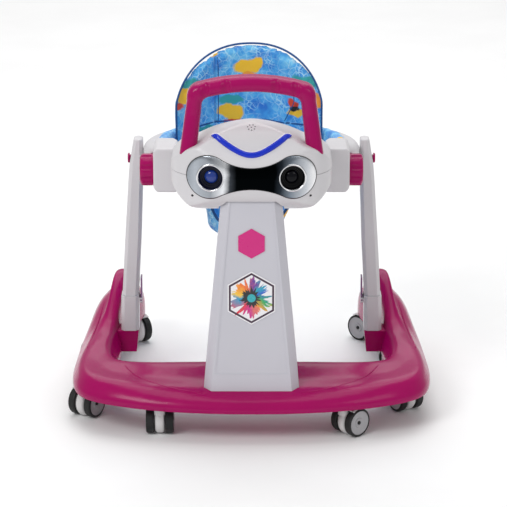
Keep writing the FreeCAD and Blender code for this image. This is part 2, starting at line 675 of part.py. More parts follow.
# ---------------------------------------------------------------- tray ring, legs, boots
def make_ring(head):
    """Round tray with a deep skirt; the top slopes up towards the console."""
    height = 140.0
    ring = cylinder(RING_OUTER_R, Vec(0, RING_CENTRE_Y, RING_BOTTOM), Z_AXIS, height)
    ring = ring.cut(cylinder(RING_INNER_R, Vec(0, RING_CENTRE_Y, RING_BOTTOM - 1), Z_AXIS, height + 2))

    def above(offset):
        front = RING_TOP + offset + RING_SLOPE * 240
        rear = RING_TOP + offset - 0.35 * RING_SLOPE * 200
        outline = [
            Vec(-300, RING_CENTRE_Y - 240, front), Vec(-300, RING_CENTRE_Y, RING_TOP + offset),
            Vec(-300, RING_CENTRE_Y + 200, rear), Vec(-300, RING_CENTRE_Y + 200, 700),
            Vec(-300, RING_CENTRE_Y - 240, 700),
        ]
        return prism(outline, Vec(600, 0, 0))

    ring = only_solid(ring.cut(above(0)))
    rims = [e for e in ring.Edges
            if e.CenterOfMass.z > 430 and e.Length > 100
            and abs(e.BoundBox.YMax - e.BoundBox.YMin) > 60
            and e.BoundBox.XMax - e.BoundBox.XMin > 30]
    ring = rounded(ring, rims, 9.0)
    hollow = cylinder(RING_OUTER_R - WALL, Vec(0, RING_CENTRE_Y, RING_BOTTOM - 10), Z_AXIS, height)
    core_start = Vec(0, RING_CENTRE_Y, RING_BOTTOM - 11)
    hollow = hollow.cut(cylinder(RING_INNER_R + WALL, core_start, Z_AXIS, height + 2))
    hollow = hollow.cut(above(-9.0))
    shell = ring.cut(hollow)
    for side in (1, -1):
        out = X_AXIS * side
        pad_start = Vec(side * (KNOB_INNER_X - 12), KNOB_Y, KNOB_Z)
        pad = cylinder(KNOB_R + 5, pad_start, out, 60).common(ring)
        shell = shell.fuse(pad)
        pocket_start = Vec(side * KNOB_INNER_X, KNOB_Y, KNOB_Z)
        shell = shell.cut(cylinder(KNOB_R + 2.0, pocket_start, out, 60))
        hinge_boss = cylinder(12, Vec(side * 160, LEG_Y, LEG_BOLT_Z), out, 36.5).common(ring)
        shell = shell.fuse(hinge_boss)
        shell = shell.cut(cylinder(LEG_BOLT_R, Vec(side * 170, LEG_Y, LEG_BOLT_Z), out, 60))
        pin_start = Vec(side * 160, KNOB_Y, KNOB_Z)
        shell = shell.cut(cylinder(KNOB_PIN_R + RUNNING_CLEARANCE, pin_start, out, 20))
    shell = shell.cut(box(-300, 300, -300, HEAD_REAR_Y, 300, 700))
    save("tray_ring", only_solid(shell))


def make_knobs():
    """Hand knobs with scalloped rims, turning on a pin in the tray's skirt."""
    for side, name in ((-1, "side_knob_left"), (1, "side_knob_right")):
        out = X_AXIS * side
        centre = Vec(side * (KNOB_INNER_X + 0.4), KNOB_Y, KNOB_Z)
        depth = KNOB_OUTER_X - KNOB_INNER_X
        knob = cylinder(KNOB_R, centre, out, depth)
        outer_edge = max(knob.Edges, key=lambda e: abs(e.CenterOfMass.x))
        knob = rounded(knob, [outer_edge], 7.0)
        for k in range(KNOB_LOBES):
            angle = 2 * math.pi * (k + 0.5) / KNOB_LOBES
            offset = Vec(0, math.cos(angle), math.sin(angle)) * (KNOB_R + 6.0)
            knob = knob.cut(cylinder(8.5, centre + offset + out * 6, out, 40))
        pin = cylinder(KNOB_PIN_R, Vec(side * 162, KNOB_Y, KNOB_Z), out, 14)
        save(name, only_solid(knob.fuse(pin)))


def leg_section(x_in, x_out, z, depth):
    half = depth / 2
    c = 6.0
    points = [
        Vec(x_in + c, LEG_Y - half, z), Vec(x_out - c, LEG_Y - half, z),
        Vec(x_out, LEG_Y - half + c, z), Vec(x_out, LEG_Y + half - c, z),
        Vec(x_out - c, LEG_Y + half, z), Vec(x_in + c, LEG_Y + half, z),
        Vec(x_in, LEG_Y + half - c, z), Vec(x_in, LEG_Y - half + c, z),
    ]
    return Part.makePolygon(points + points[:1])


# height, inner x, outer x and depth of the leg where its taper changes
LEG_STATIONS = [
    (BOOT_TOP, 208.5, 238.0, 36.0),
    (270.0, 202.0, 231.5, 35.0),
    (392.0, 197.0, 223.0, 34.0),
    (418.0, 196.6, 220.5, 34.0),
    (LEG_TOP, 196.6, 213.0, 34.0),
]


def leg_body(inset, bottom, top):
    """Tapered leg between two heights, straight between its stations."""
    def outline(z):
        low, high = next(
            (a, b) for a, b in zip(LEG_STATIONS, LEG_STATIONS[1:]) if z <= b[0]
        )
        t = (z - low[0]) / (high[0] - low[0])
        x_in, x_out, depth = [a + t * (b - a) for a, b in zip(low[1:], high[1:])]
        return leg_section(x_in + inset, x_out - inset, z, depth - 2 * inset)

    heights = [bottom] + [s[0] for s in LEG_STATIONS if bottom < s[0] < top] + [top]
    return Part.makeLoft([outline(z) for z in heights], True, True)


def make_legs():
    caps = []
    for side, tag in ((-1, "left"), (1, "right")):
        leg = leg_body(0.0, BOOT_TOP + 0.3, LEG_TOP)
        top_edges = [e for e in leg.Edges if abs(e.CenterOfMass.z - LEG_TOP) < 0.1]
        leg = rounded(leg, top_edges, 4.0)
        tenon = box(
            BOOT_CENTRE_X - TENON_X / 2, BOOT_CENTRE_X + TENON_X / 2,
            LEG_Y - TENON_Y / 2, LEG_Y + TENON_Y / 2, TENON_BOTTOM, BOOT_TOP + 12,
        )
        sleeve = cylinder(10.0, Vec(190, LEG_Y, LEG_BOLT_Z), X_AXIS, 60)
        hollow = leg_body(WALL, BOOT_TOP + 14, LEG_TOP - 5).cut(sleeve)
        leg = leg.cut(hollow).fuse(tenon)
        bolt_hole = cylinder(LEG_BOLT_R, Vec(190, LEG_Y, LEG_BOLT_Z), X_AXIS, 60)
        leg = only_solid(leg.cut(bolt_hole)).removeSplitter()
        save("leg_" + tag, leg if side > 0 else mirror(leg))

        cap = cylinder(9.0, Vec(221.0, LEG_Y, LEG_BOLT_Z), X_AXIS, 3.6)
        cap = rounded(cap, [max(cap.Edges, key=lambda e: e.CenterOfMass.x)], 2.0)
        cap = cap.fuse(cylinder(LEG_BOLT_R - 0.1, Vec(171, LEG_Y, LEG_BOLT_Z), X_AXIS, 51))
        cap = only_solid(cap)
        caps.append(cap if side > 0 else mirror(cap))

        boot = Part.makeLoft([
            leg_section(BOOT_CENTRE_X - 16.5, BOOT_CENTRE_X + 16.0, BOOT_BOTTOM, 42.0),
            leg_section(BOOT_CENTRE_X - 17.5, BOOT_CENTRE_X + 15.0, BOOT_TOP, 42.0),
        ], True, True)
        boot = boot.cut(tenon_bore(1))
        ears = [
            box(202, BOOT_CENTRE_X - 13, LEG_Y + low, LEG_Y + high, LATCH_Z - 4, LATCH_Z + 4)
            .cut(tenon_bore(1))
            for low, high in ((-15, -11.2), (11.2, 15))
        ]
        pin_start = Vec(LATCH_X, LEG_Y - 16, LATCH_Z)
        pin_bore = cylinder(LATCH_PIN_R + RUNNING_CLEARANCE, pin_start, Y_AXIS, 32)
        boot = only_solid(boot.fuse(ears).cut(pin_bore))
        save("leg_boot_" + tag, boot if side > 0 else mirror(boot))

        plate = box(202.0, 204.6, LEG_Y - 11, LEG_Y + 11, LATCH_Z - 6, LATCH_Z + 42)
        pin = cylinder(LATCH_PIN_R, Vec(LATCH_X, LEG_Y - 15, LATCH_Z), Y_AXIS, 30)
        latch = only_solid(plate.fuse(pin))
        save("leg_latch_" + tag, latch if side > 0 else mirror(latch))
    save("leg_caps", caps)


# ---------------------------------------------------------------- fabric
def cone(low_r, high_r, low_z, high_z):
    return Part.makeCone(low_r, high_r, high_z - low_z, Vec(0, RING_CENTRE_Y, low_z), Z_AXIS)


def make_seat():
    """Hanging bucket seat with a hole for each leg."""
    outside = cone(SEAT_FLOOR_R, SEAT_TOP_R, SEAT_FLOOR_Z, SEAT_RIM_Z)
    inside = cone(SEAT_FLOOR_R - CLOTH, SEAT_TOP_R - CLOTH, SEAT_FLOOR_Z + CLOTH, SEAT_RIM_Z)
    mouth_start = Vec(0, RING_CENTRE_Y, SEAT_RIM_Z - 0.5)
    inside = inside.fuse(cylinder(SEAT_TOP_R - CLOTH, mouth_start, Z_AXIS, 9))
    sling = outside.cut(inside)
    for side in (1, -1):
        direction = Vec(side * 0.62, -0.78, -0.1)
        start = Vec(side * 12, RING_CENTRE_Y - 20, SEAT_FLOOR_Z + 48)
        sling = sling.cut(cylinder(LEG_HOLE_R, start, direction, 200))
    save("seat_sling", only_solid(sling))


def make_backrest():
    """Curved padded back that stands on the rear of the tray."""
    bend = cylinder(BACK_OUTER_R, Vec(0, RING_CENTRE_Y, BACK_BOTTOM), Z_AXIS, 200)
    bend = bend.cut(cylinder(BACK_INNER_R, Vec(0, RING_CENTRE_Y, BACK_BOTTOM - 1), Z_AXIS, 202))
    w = BACK_HALF_WIDTH
    shoulder = BACK_TOP - 84
    p = [Vec(-w, 0, BACK_BOTTOM), Vec(-w, 0, shoulder), Vec(0, 0, BACK_TOP), Vec(w, 0, shoulder),
         Vec(w, 0, BACK_BOTTOM)]
    arc_left = Vec(-0.80 * w, 0, BACK_TOP - 29)
    arc_right = Vec(0.80 * w, 0, BACK_TOP - 29)
    edges = [
        Part.LineSegment(p[0], p[1]).toShape(),
        Part.Arc(p[1], arc_left, Vec(-50, 0, BACK_TOP - 4)).toShape(),
        Part.Arc(Vec(-50, 0, BACK_TOP - 4), p[2], Vec(50, 0, BACK_TOP - 4)).toShape(),
        Part.Arc(Vec(50, 0, BACK_TOP - 4), arc_right, p[3]).toShape(),
        Part.LineSegment(p[3], p[4]).toShape(),
        Part.LineSegment(p[4], p[0]).toShape(),
    ]
    outline = Part.Face(Part.Wire(edges))
    outline.translate(Vec(0, RING_CENTRE_Y + 20, 0))
    save("backrest", only_solid(bend.common(outline.extrude(Vec(0, 200, 0)))))


def main():
    column = make_column()
    base = make_base(column)
    save("base_shell", base)
    make_sockets()
    make_stopper_pads()
    make_castors()
    head = make_head(column)
    make_handle(head)
    make_ring(head)
    make_knobs()
    make_legs()
    make_seat()
    make_backrest()


main()
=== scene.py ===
import json
import math

import bmesh
import bpy
from mathutils import Matrix, Vector, noise
from mathutils.bvhtree import BVHTree


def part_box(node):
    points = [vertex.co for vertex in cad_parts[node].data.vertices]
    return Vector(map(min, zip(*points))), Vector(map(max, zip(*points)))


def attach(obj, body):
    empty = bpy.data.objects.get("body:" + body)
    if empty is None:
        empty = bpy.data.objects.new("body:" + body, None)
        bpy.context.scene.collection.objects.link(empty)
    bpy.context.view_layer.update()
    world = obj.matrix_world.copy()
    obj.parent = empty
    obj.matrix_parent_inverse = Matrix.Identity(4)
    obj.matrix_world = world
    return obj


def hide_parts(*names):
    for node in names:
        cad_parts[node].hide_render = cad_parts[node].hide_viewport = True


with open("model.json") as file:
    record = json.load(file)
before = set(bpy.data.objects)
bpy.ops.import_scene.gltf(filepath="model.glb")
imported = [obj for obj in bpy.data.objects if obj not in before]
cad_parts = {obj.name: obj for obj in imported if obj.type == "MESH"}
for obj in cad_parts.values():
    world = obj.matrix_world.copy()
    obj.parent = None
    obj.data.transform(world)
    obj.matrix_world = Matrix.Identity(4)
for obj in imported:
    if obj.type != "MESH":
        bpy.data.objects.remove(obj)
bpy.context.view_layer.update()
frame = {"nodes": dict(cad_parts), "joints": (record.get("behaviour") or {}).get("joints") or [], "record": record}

NODES = frame["nodes"]
CASTORS = [
    "front_left", "front_right", "corner_left", "corner_right",
    "side_left", "side_right", "rear_left", "rear_right",
]


# ---------------------------------------------------------------- colours
def srgb(red, green, blue):
    """Display colour, 0 to 255, as linear RGBA."""
    def linear(value):
        value /= 255.0
        return value / 12.92 if value <= 0.04045 else ((value + 0.055) / 1.055) ** 2.4
    return (linear(red), linear(green), linear(blue), 1.0)


MAGENTA = srgb(158, 3, 88)
WHITE = srgb(208, 206, 209)
COOL_WHITE = srgb(197, 196, 204)
BLACK = srgb(20, 20, 21)
NOISE_ROUGHNESS = 0.55


# ---------------------------------------------------------------- material helpers
class Graph:
    """Short names for adding nodes to one material."""

    def __init__(self, name):
        self.material = bpy.data.materials.new(name)
        self.material.use_nodes = True
        self.tree = self.material.node_tree
        self.shader = self.tree.nodes["Principled BSDF"]
        self.coords = self.node("ShaderNodeTexCoord").outputs["Object"]

    def node(self, kind, **settings):
        made = self.tree.nodes.new(kind)
        for key, value in settings.items():
            setattr(made, key, value)
        return made

    def link(self, start, end):
        self.tree.links.new(start, end)

    def feed(self, socket, start):
        self.link(start, self.shader.inputs[socket])

    def split(self, vector):
        """X, Y and Z outputs of a vector."""
        made = self.node("ShaderNodeSeparateXYZ")
        self.link(vector, made.inputs[0])
        return made.outputs

    def set(self, **sockets):
        for key, value in sockets.items():
            self.shader.inputs[key.replace("_", " ")].default_value = value

    def noise(self, scale, detail=3.0):
        made = self.node("ShaderNodeTexNoise")
        made.inputs["Scale"].default_value = scale
        made.inputs["Detail"].default_value = detail
        made.inputs["Roughness"].default_value = NOISE_ROUGHNESS
        self.link(self.coords, made.inputs["Vector"])
        return made.outputs["Fac"]

    def ramp(self, factor, stops):
        made = self.node("ShaderNodeValToRGB")
        while len(made.color_ramp.elements) < len(stops):
            made.color_ramp.elements.new(0.5)
        for element, (position, colour) in zip(made.color_ramp.elements, stops):
            element.position = position
            element.color = colour
        self.link(factor, made.inputs["Fac"])
        return made.outputs["Color"]

    def mix(self, factor, first, second):
        made = self.node("ShaderNodeMix", data_type="RGBA")
        for value, socket in ((factor, 0), (first, 6), (second, 7)):
            if isinstance(value, (float, int, tuple)):
                made.inputs[socket].default_value = value
            else:
                self.link(value, made.inputs[socket])
        return made.outputs[2]

    def math(self, operation, first, second=0.0):
        made = self.node("ShaderNodeMath", operation=operation)
        for value, socket in ((first, 0), (second, 1)):
            if isinstance(value, (float, int)):
                made.inputs[socket].default_value = value
            else:
                self.link(value, made.inputs[socket])
        return made.outputs[0]

    def range(self, value, low, high, to_low=0.0, to_high=1.0):
        made = self.node("ShaderNodeMapRange")
        limits = {"From Min": low, "From Max": high, "To Min": to_low, "To Max": to_high}
        for socket, number in limits.items():
            made.inputs[socket].default_value = number
        self.link(value, made.inputs["Value"])
        return made.outputs["Result"]

    def bump(self, height, strength, distance, normal=None):
        made = self.node("ShaderNodeBump")
        made.inputs["Strength"].default_value = strength
        made.inputs["Distance"].default_value = distance
        self.link(height, made.inputs["Height"])
        if normal is not None:
            self.link(normal, made.inputs["Normal"])
        return made.outputs["Normal"]


def moulded(name, colour, roughness, grain=0.0, variation=0.04, coat=0.0, ior=1.46):
    """Moulded plastic: faint colour drift, handling haze in the gloss and optional fine grain."""
    g = Graph(name)
    drift = g.noise(9.0, 2.0)
    lighter = tuple(min(1.0, c * (1.0 + variation)) for c in colour[:3]) + (1.0,)
    darker = tuple(c * (1.0 - variation) for c in colour[:3]) + (1.0,)
    g.feed("Base Color", g.ramp(drift, [(0.35, darker), (0.65, lighter)]))
    haze = g.noise(55.0, 4.0)
    g.feed("Roughness", g.range(haze, 0.3, 0.7, roughness * 0.85, roughness * 1.2))
    scale, strength = (1600.0, grain) if grain else (38.0, 0.02)
    g.feed("Normal", g.bump(g.noise(scale, 2.0), strength, 0.0004))
    g.set(Coat_Weight=coat, Coat_Roughness=0.08, IOR=ior)
    return g.material


def metal(name, colour, roughness):
    g = Graph(name)
    fine = g.noise(300.0, 3.0)
    g.feed("Roughness", g.range(fine, 0.3, 0.7, roughness * 0.8, roughness * 1.3))
    dark = tuple(c * 0.85 for c in colour[:3]) + (1.0,)
    g.feed("Base Color", g.ramp(g.noise(30.0), [(0.3, dark), (0.7, colour)]))
    g.set(Metallic=1.0)
    return g.material


# colour, roughness and other settings of each plain moulded material
PLASTICS = {
    "magenta_plastic": (MAGENTA, 0.2, {"ior": 1.28}),
    "white_plastic": (WHITE, 0.33, {"variation": 0.015}),
    "column_plastic": (COOL_WHITE, 0.36, {"variation": 0.015}),
    "black_tyre": (BLACK, 0.55, {"grain": 0.25, "variation": 0.15}),
    "black_rubber": (BLACK, 0.7, {"grain": 0.4, "variation": 0.15}),
    "castor_white": (srgb(214, 212, 212), 0.4, {"grain": 0.08, "variation": 0.03}),
    "castor_grey": (srgb(176, 175, 178), 0.38, {"grain": 0.08, "variation": 0.03}),
    "grey_plastic": (srgb(120, 120, 122), 0.45, {"grain": 0.1}),
    "magenta_badge": (srgb(205, 24, 122), 0.3, {"coat": 0.3}),
    "mauve_plastic": (srgb(128, 88, 130), 0.35, {}),
    "smoked_lens": (srgb(16, 22, 48), 0.06, {"coat": 1.0}),
    "blue_light_bar": (srgb(8, 44, 190), 0.12, {"ior": 1.42}),
    "black_plastic": (BLACK, 0.4, {}),
    "board_green": (srgb(20, 95, 50), 0.4, {}),
    "blue_plastic": (srgb(30, 110, 200), 0.25, {"coat": 0.3}),
    # the two eyes are the same parts: the left cup and lens are painted lighter and bluer as the lit copy with a
    # painted reflection, the right ones near black as the shaded copy
    "eye_cup_left": (srgb(10, 13, 32), 0.35, {"ior": 1.3}),
    "eye_cup_right": (srgb(4, 4, 6), 0.4, {"ior": 1.25}),
    "lens_left": (srgb(22, 52, 132), 0.1, {"coat": 0.25}),
    "lens_right": (srgb(4, 4, 10), 0.12, {"ior": 1.25}),
    "rim_white": (srgb(236, 236, 240), 0.25, {"coat": 0.3}),
    "blue_binding": (srgb(22, 74, 132), 0.7, {"grain": 0.4, "variation": 0.12}),
}


def mask_with_painted_reflections(name):
    """Metallised plastic with painted reflections: painted bright bands and highlights round the eyes and a
    painted dark reflection, almost black, between them.
    """
    g = Graph(name)
    axes = g.split(g.coords)
    wobble = g.math("MULTIPLY", g.noise(22.0), 0.016)
    share = g.range(g.math("ADD", axes["X"], wobble), -0.112, 0.128)
    # painted reflections by x: light bands, white highlight streaks and a near-black middle
    stops = [(0.0, srgb(132, 138, 146)), (0.10, srgb(176, 182, 190)), (0.22, srgb(150, 155, 162)),
             (0.31, srgb(228, 230, 234)), (0.35, srgb(60, 64, 70)), (0.40, srgb(4, 6, 7)),
             (0.66, srgb(4, 6, 8)), (0.71, srgb(40, 46, 54)), (0.78, srgb(120, 130, 142)),
             (0.88, srgb(206, 210, 216)), (0.94, srgb(250, 250, 252)), (1.0, srgb(214, 216, 220))]
    g.feed("Base Color", g.ramp(share, stops))
    fine = g.noise(260.0, 3.0)
    g.feed("Roughness", g.range(fine, 0.3, 0.7, 0.16, 0.26))
    g.set(Metallic=1.0)
    return g.material


WARP = 0.022     # how far the print's outlines wander, in metres


def water_base(g):
    """Pool-water print: mottled blue under a bright web of ripples."""
    drift = g.node("ShaderNodeTexNoise")
    drift.inputs["Scale"].default_value = 38.0
    drift.inputs["Detail"].default_value = 2.0
    g.link(g.coords, drift.inputs["Vector"])
    warped = g.node("ShaderNodeVectorMath", operation="MULTIPLY_ADD")
    g.link(drift.outputs["Color"], warped.inputs[0])
    warped.inputs[1].default_value = (WARP, WARP, WARP)
    g.link(g.coords, warped.inputs[2])
    blue = g.ramp(g.noise(42.0, 3.0), [(0.30, srgb(42, 120, 206)), (0.5, srgb(66, 162, 226)),
                                        (0.72, srgb(120, 200, 236))])
    for scale, width, tint in ((76.0, 0.075, srgb(196, 232, 244)), (122.0, 0.07, srgb(140, 208, 238))):
        web = g.node("ShaderNodeTexVoronoi", feature="DISTANCE_TO_EDGE")
        web.inputs["Scale"].default_value = scale
        g.link(warped.outputs[0], web.inputs["Vector"])
        line = g.range(web.outputs["Distance"], 0.0, width, 0.85, 0.0)
        patchy = g.math("MULTIPLY", line, g.range(g.noise(30.0), 0.38, 0.6))
        blue = g.mix(patchy, blue, tint)
    return blue, warped.outputs[0]


def weave(g):
    """Sewn cloth finish: fine weave, small creases and soft sheen."""
    cloth = g.noise(900.0, 2.0)
    creases = g.bump(g.noise(34.0, 4.0), 0.35, 0.003)
    g.feed("Normal", g.bump(cloth, 0.35, 0.0004, creases))
    g.feed("Roughness", g.range(g.noise(70.0), 0.3, 0.7, 0.62, 0.85))
    g.set(Sheen_Weight=0.25, Sheen_Roughness=0.5)


def spot(g, place, centre, size):
    """Soft-edged ellipse in the x-z plane; 1 inside."""
    axes = g.split(place)
    u = g.math("DIVIDE", g.math("SUBTRACT", axes["X"], centre[0]), size[0])
    v = g.math("DIVIDE", g.math("SUBTRACT", axes["Z"], centre[1]), size[1])
    reach = g.math("ADD", g.math("MULTIPLY", u, u), g.math("MULTIPLY", v, v))
    return g.range(reach, 1.25, 0.75)


YELLOW = srgb(246, 192, 40)
ORANGE = srgb(238, 150, 48)
RED = srgb(214, 62, 34)
TEAL = srgb(44, 158, 158)
INK = srgb(24, 26, 34)

# centre and half size in metres of each printed spot of the backrest, drawn in this order
BACK_SPOTS = [
    (TEAL, (-0.113, 0.536), (0.026, 0.013)), (TEAL, (-0.036, 0.502), (0.026, 0.010)),
    (TEAL, (0.098, 0.541), (0.024, 0.014)), (TEAL, (-0.09, 0.452), (0.020, 0.008)),
    (YELLOW, (-0.014, 0.563), (0.022, 0.013)), (YELLOW, (0.008, 0.566), (0.013, 0.012)),
    (ORANGE, (-0.002, 0.546), (0.014, 0.009)), (YELLOW, (-0.049, 0.482), (0.020, 0.012)),
    (YELLOW, (-0.031, 0.477), (0.016, 0.013)), (RED, (-0.036, 0.462), (0.018, 0.006)),
    (YELLOW, (-0.120, 0.522), (0.018, 0.013)), (RED, (-0.130, 0.504), (0.008, 0.008)),
    (ORANGE, (0.122, 0.514), (0.009, 0.014)), (YELLOW, (-0.076, 0.589), (0.013, 0.006)),
    (INK, (-0.074, 0.596), (0.009, 0.006)), (RED, (-0.063, 0.600), (0.007, 0.007)),
    (YELLOW, (0.081, 0.484), (0.015, 0.008)), (RED, (0.079, 0.499), (0.012, 0.009)),
    (INK, (0.08, 0.49), (0.012, 0.006)),
]


def printed_back(name):
    g = Graph(name)
    colour, place = water_base(g)
    for tint, centre, size in BACK_SPOTS:
        shifted = (centre[0] + WARP / 2, centre[1] + WARP / 2)
        colour = g.mix(spot(g, place, shifted, size), colour, tint)
    g.feed("Base Color", colour)
    weave(g)
    return g.material


def printed_seat(name):
    """The same print with its warm patches scattered over the cells of a coarse pattern."""
    g = Graph(name)
    colour, place = water_base(g)
    cells = g.node("ShaderNodeTexVoronoi")
    cells.inputs["Scale"].default_value = 15.0
    g.link(place, cells.inputs["Vector"])
    tone = g.node("ShaderNodeSeparateColor")
    g.link(cells.outputs["Color"], tone.inputs[0])
    size = g.range(tone.outputs[0], 0.35, 0.9, 0.0, 0.36)
    inside = g.math("SUBTRACT", size, cells.outputs["Distance"])
    patch = g.range(inside, -0.015, 0.015)
    tint = g.ramp(tone.outputs[1], [(0.0, YELLOW), (0.45, YELLOW), (0.5, ORANGE), (0.68, ORANGE),
                                    (0.72, TEAL), (1.0, TEAL)])
    g.feed("Base Color", g.mix(patch, colour, tint))
    weave(g)
    return g.material


def printed_hexagon(name, node):
    """White hexagonal label: dark border and a wheel of paint splashes, with no wording."""
    low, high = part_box(node)
    centre_z = 0.5 * (low[2] + high[2])
    apothem = high[0]
    g = Graph(name)
    axes = g.split(g.coords)
    x = axes["X"]
    z = g.math("SUBTRACT", axes["Z"], centre_z)
    wide, tall = g.math("ABSOLUTE", x), g.math("ABSOLUTE", z)
    slanted = g.math("ADD", g.math("MULTIPLY", wide, 0.5), g.math("MULTIPLY", tall, 0.866))
    reach = g.math("DIVIDE", g.math("MAXIMUM", wide, slanted), apothem)
    radius = g.math("SQRT", g.math("ADD", g.math("MULTIPLY", x, x), g.math("MULTIPLY", z, z)))
    warp = g.math("MULTIPLY", g.math("SUBTRACT", g.noise(60.0, 4.0), 0.5), 1.5)
    angle = g.math("ADD", g.math("ARCTAN2", z, x), warp)
    wheel = g.range(angle, -math.pi, math.pi)
    paints = [(0.0, srgb(30, 150, 190)), (0.14, srgb(225, 50, 60)), (0.24, srgb(200, 40, 140)),
              (0.36, srgb(240, 150, 40)), (0.46, srgb(50, 170, 90)), (0.56, srgb(35, 90, 200)),
              (0.66, srgb(30, 165, 185)), (0.74, srgb(110, 50, 150)), (0.84, srgb(240, 120, 40)),
              (0.93, srgb(245, 200, 60)), (1.0, srgb(30, 150, 190))]
    paint = g.ramp(wheel, paints)
    rays = g.node("ShaderNodeTexNoise")
    rays.inputs["Scale"].default_value = 1.0
    rays.inputs["Detail"].default_value = 3.0
    streak = g.node("ShaderNodeCombineXYZ")
    bearing = g.math("ARCTAN2", z, x)
    g.link(g.math("MULTIPLY", g.math("COSINE", bearing), 5.0), streak.inputs[0])
    g.link(g.math("MULTIPLY", g.math("SINE", bearing), 5.0), streak.inputs[1])
    g.link(g.math("MULTIPLY", radius, 22.0), streak.inputs[2])
    g.link(streak.outputs[0], rays.inputs["Vector"])
    limit = g.range(rays.outputs["Fac"], 0.3, 0.7, 0.018, 0.043)
    splash = g.range(g.math("SUBTRACT", limit, radius), -0.0008, 0.0008)
    colour = g.mix(splash, srgb(236, 235, 238), paint)
    core = g.range(g.math("SUBTRACT", g.math("MULTIPLY", limit, 0.5), radius), -0.0008, 0.0008)
    colour = g.mix(core, colour, srgb(24, 26, 32))
    colour = g.mix(g.range(radius, 0.0075, 0.0068), colour, srgb(40, 170, 178))
    inner_edge = g.range(reach, 0.86, 0.875)
    outer_edge = g.range(reach, 0.96, 0.945)
    colour = g.mix(g.math("MULTIPLY", inner_edge, outer_edge), colour, srgb(52, 16, 48))
    g.feed("Base Color", colour)
    g.feed("Roughness", g.range(g.noise(90.0), 0.3, 0.7, 0.22, 0.32))
    g.set(Coat_Weight=0.4)
    return g.material


MATERIALS = {
    name: moulded(name, colour, roughness, **settings)
    for name, (colour, roughness, settings) in PLASTICS.items()
}
MATERIALS["steel"] = metal("steel", srgb(190, 190, 192), 0.35)
MATERIALS["chrome_ring"] = metal("chrome_ring", srgb(235, 235, 238), 0.08)
MATERIALS["metallised_mask"] = mask_with_painted_reflections("metallised_mask")
MATERIALS["printed_back"] = printed_back("printed_back")
MATERIALS["printed_seat"] = MATERIALS["printed_fabric"] = printed_seat("printed_seat")
MATERIALS["printed_badge"] = printed_hexagon("printed_badge", "badge_large")
SLOT_OF = {p["node"]: p["material_slot"] for p in frame["record"]["subparts"]}
COLUMN_NODES = ["column_front", "column_rear"]


def dress(obj, material):
    obj.data.materials.clear()
    obj.data.materials.append(MATERIALS[material])


for node_name, node in NODES.items():
    dress(node, "column_plastic" if node_name in COLUMN_NODES else SLOT_OF[node_name])


# ---------------------------------------------------------------- camera, light and floor
CAMERA_PLACE = (0.0, -3.75, 1.42)
CAMERA_PITCH = 17.27     # degrees below the horizon
LOOK_AT = (0.0, 0.0, 0.3)


def add_camera():
    data = bpy.data.cameras.new("camera")
    camera = bpy.data.objects.new("camera", data)
    bpy.context.scene.collection.objects.link(camera)
    camera.location = CAMERA_PLACE
    camera.rotation_euler = (math.radians(90.0 - CAMERA_PITCH), 0.0, 0.0)
    data.sensor_width = 36.0
    data.lens = 153.0
    data.shift_x = 0.004
    bpy.context.scene.camera = camera


def add_area(name, place, aim, size, power):
    data = bpy.data.lights.new(name, "AREA")
    data.energy = power
    data.size = size
    light = bpy.data.objects.new(name, data)
    bpy.context.scene.collection.objects.link(light)
    light.location = place
    light.rotation_euler = (Vector(aim) - Vector(place)).to_track_quat("-Z", "Y").to_euler()


def add_studio():
    world = bpy.data.worlds.new("studio")
    bpy.context.scene.world = world
    world.use_nodes = True
    background = world.node_tree.nodes["Background"]
    background.inputs["Color"].default_value = (1.0, 1.0, 1.0, 1.0)
    background.inputs["Strength"].default_value = 0.5
    add_area("key_left", (-1.8, -2.2, 2.4), LOOK_AT, 1.2, 40.0)
    add_area("key_right", (1.9, -2.0, 2.0), LOOK_AT, 1.2, 9.0)
    add_area("top", (0.0, 0.4, 2.8), LOOK_AT, 2.0, 24.0)
    add_area("sweep", (0.0, 3.4, 3.2), (0.0, 3.0, 0.0), 4.0, 75.0)
    mesh = bpy.data.meshes.new("floor")
    form = bmesh.new()
    bmesh.ops.create_grid(form, x_segments=1, y_segments=1, size=6.0)
    form.to_mesh(mesh)
    form.free()
    floor = bpy.data.objects.new("floor", mesh)
    bpy.context.scene.collection.objects.link(floor)
    g = Graph("pale_floor")
    g.feed("Base Color", g.ramp(g.noise(3.0), [(0.4, (0.93, 0.93, 0.93, 1)), (0.6, (0.95, 0.95, 0.95, 1))]))
    g.set(Roughness=0.7)
    mesh.materials.append(g.material)


# ---------------------------------------------------------------- mesh helpers
def link_object(name, mesh):
    obj = bpy.data.objects.new(name, mesh)
    bpy.context.scene.collection.objects.link(obj)
    return obj


def from_bmesh(name, form):
    bmesh.ops.recalc_face_normals(form, faces=form.faces)
    mesh = bpy.data.meshes.new(name)
    form.to_mesh(mesh)
    form.free()
    return link_object(name, mesh)


def bridge(form, rings, capped=False):
    """Faces between following rings of vertices; the end rings can be closed."""
    for ring, following in zip(rings, rings[1:]):
        for k in range(len(ring)):
            form.faces.new((ring[k - 1], ring[k], following[k], following[k - 1]))
    if capped:
        form.faces.new(rings[0])
        form.faces.new(rings[-1])


def discard(obj):
    mesh = obj.data
    bpy.data.objects.remove(obj)
    bpy.data.meshes.remove(mesh)


def copy_of(obj, name):
    return link_object(name, obj.data.copy())


def bake_modifiers(obj):
    depsgraph = bpy.context.evaluated_depsgraph_get()
    finished = bpy.data.meshes.new_from_object(obj.evaluated_get(depsgraph))
    obj.modifiers.clear()
    worn = obj.data
    obj.data = finished
    bpy.data.meshes.remove(worn)


def boolean(target, tool, operation="DIFFERENCE"):
    cut = target.modifiers.new("boolean", "BOOLEAN")
    cut.operation = operation
    cut.solver = "MANIFOLD"
    cut.object = tool
    bake_modifiers(target)
    discard(tool)


def even_mesh(obj, voxel):
    remesh = obj.modifiers.new("remesh", "REMESH")
    remesh.mode = "VOXEL"
    remesh.voxel_size = voxel


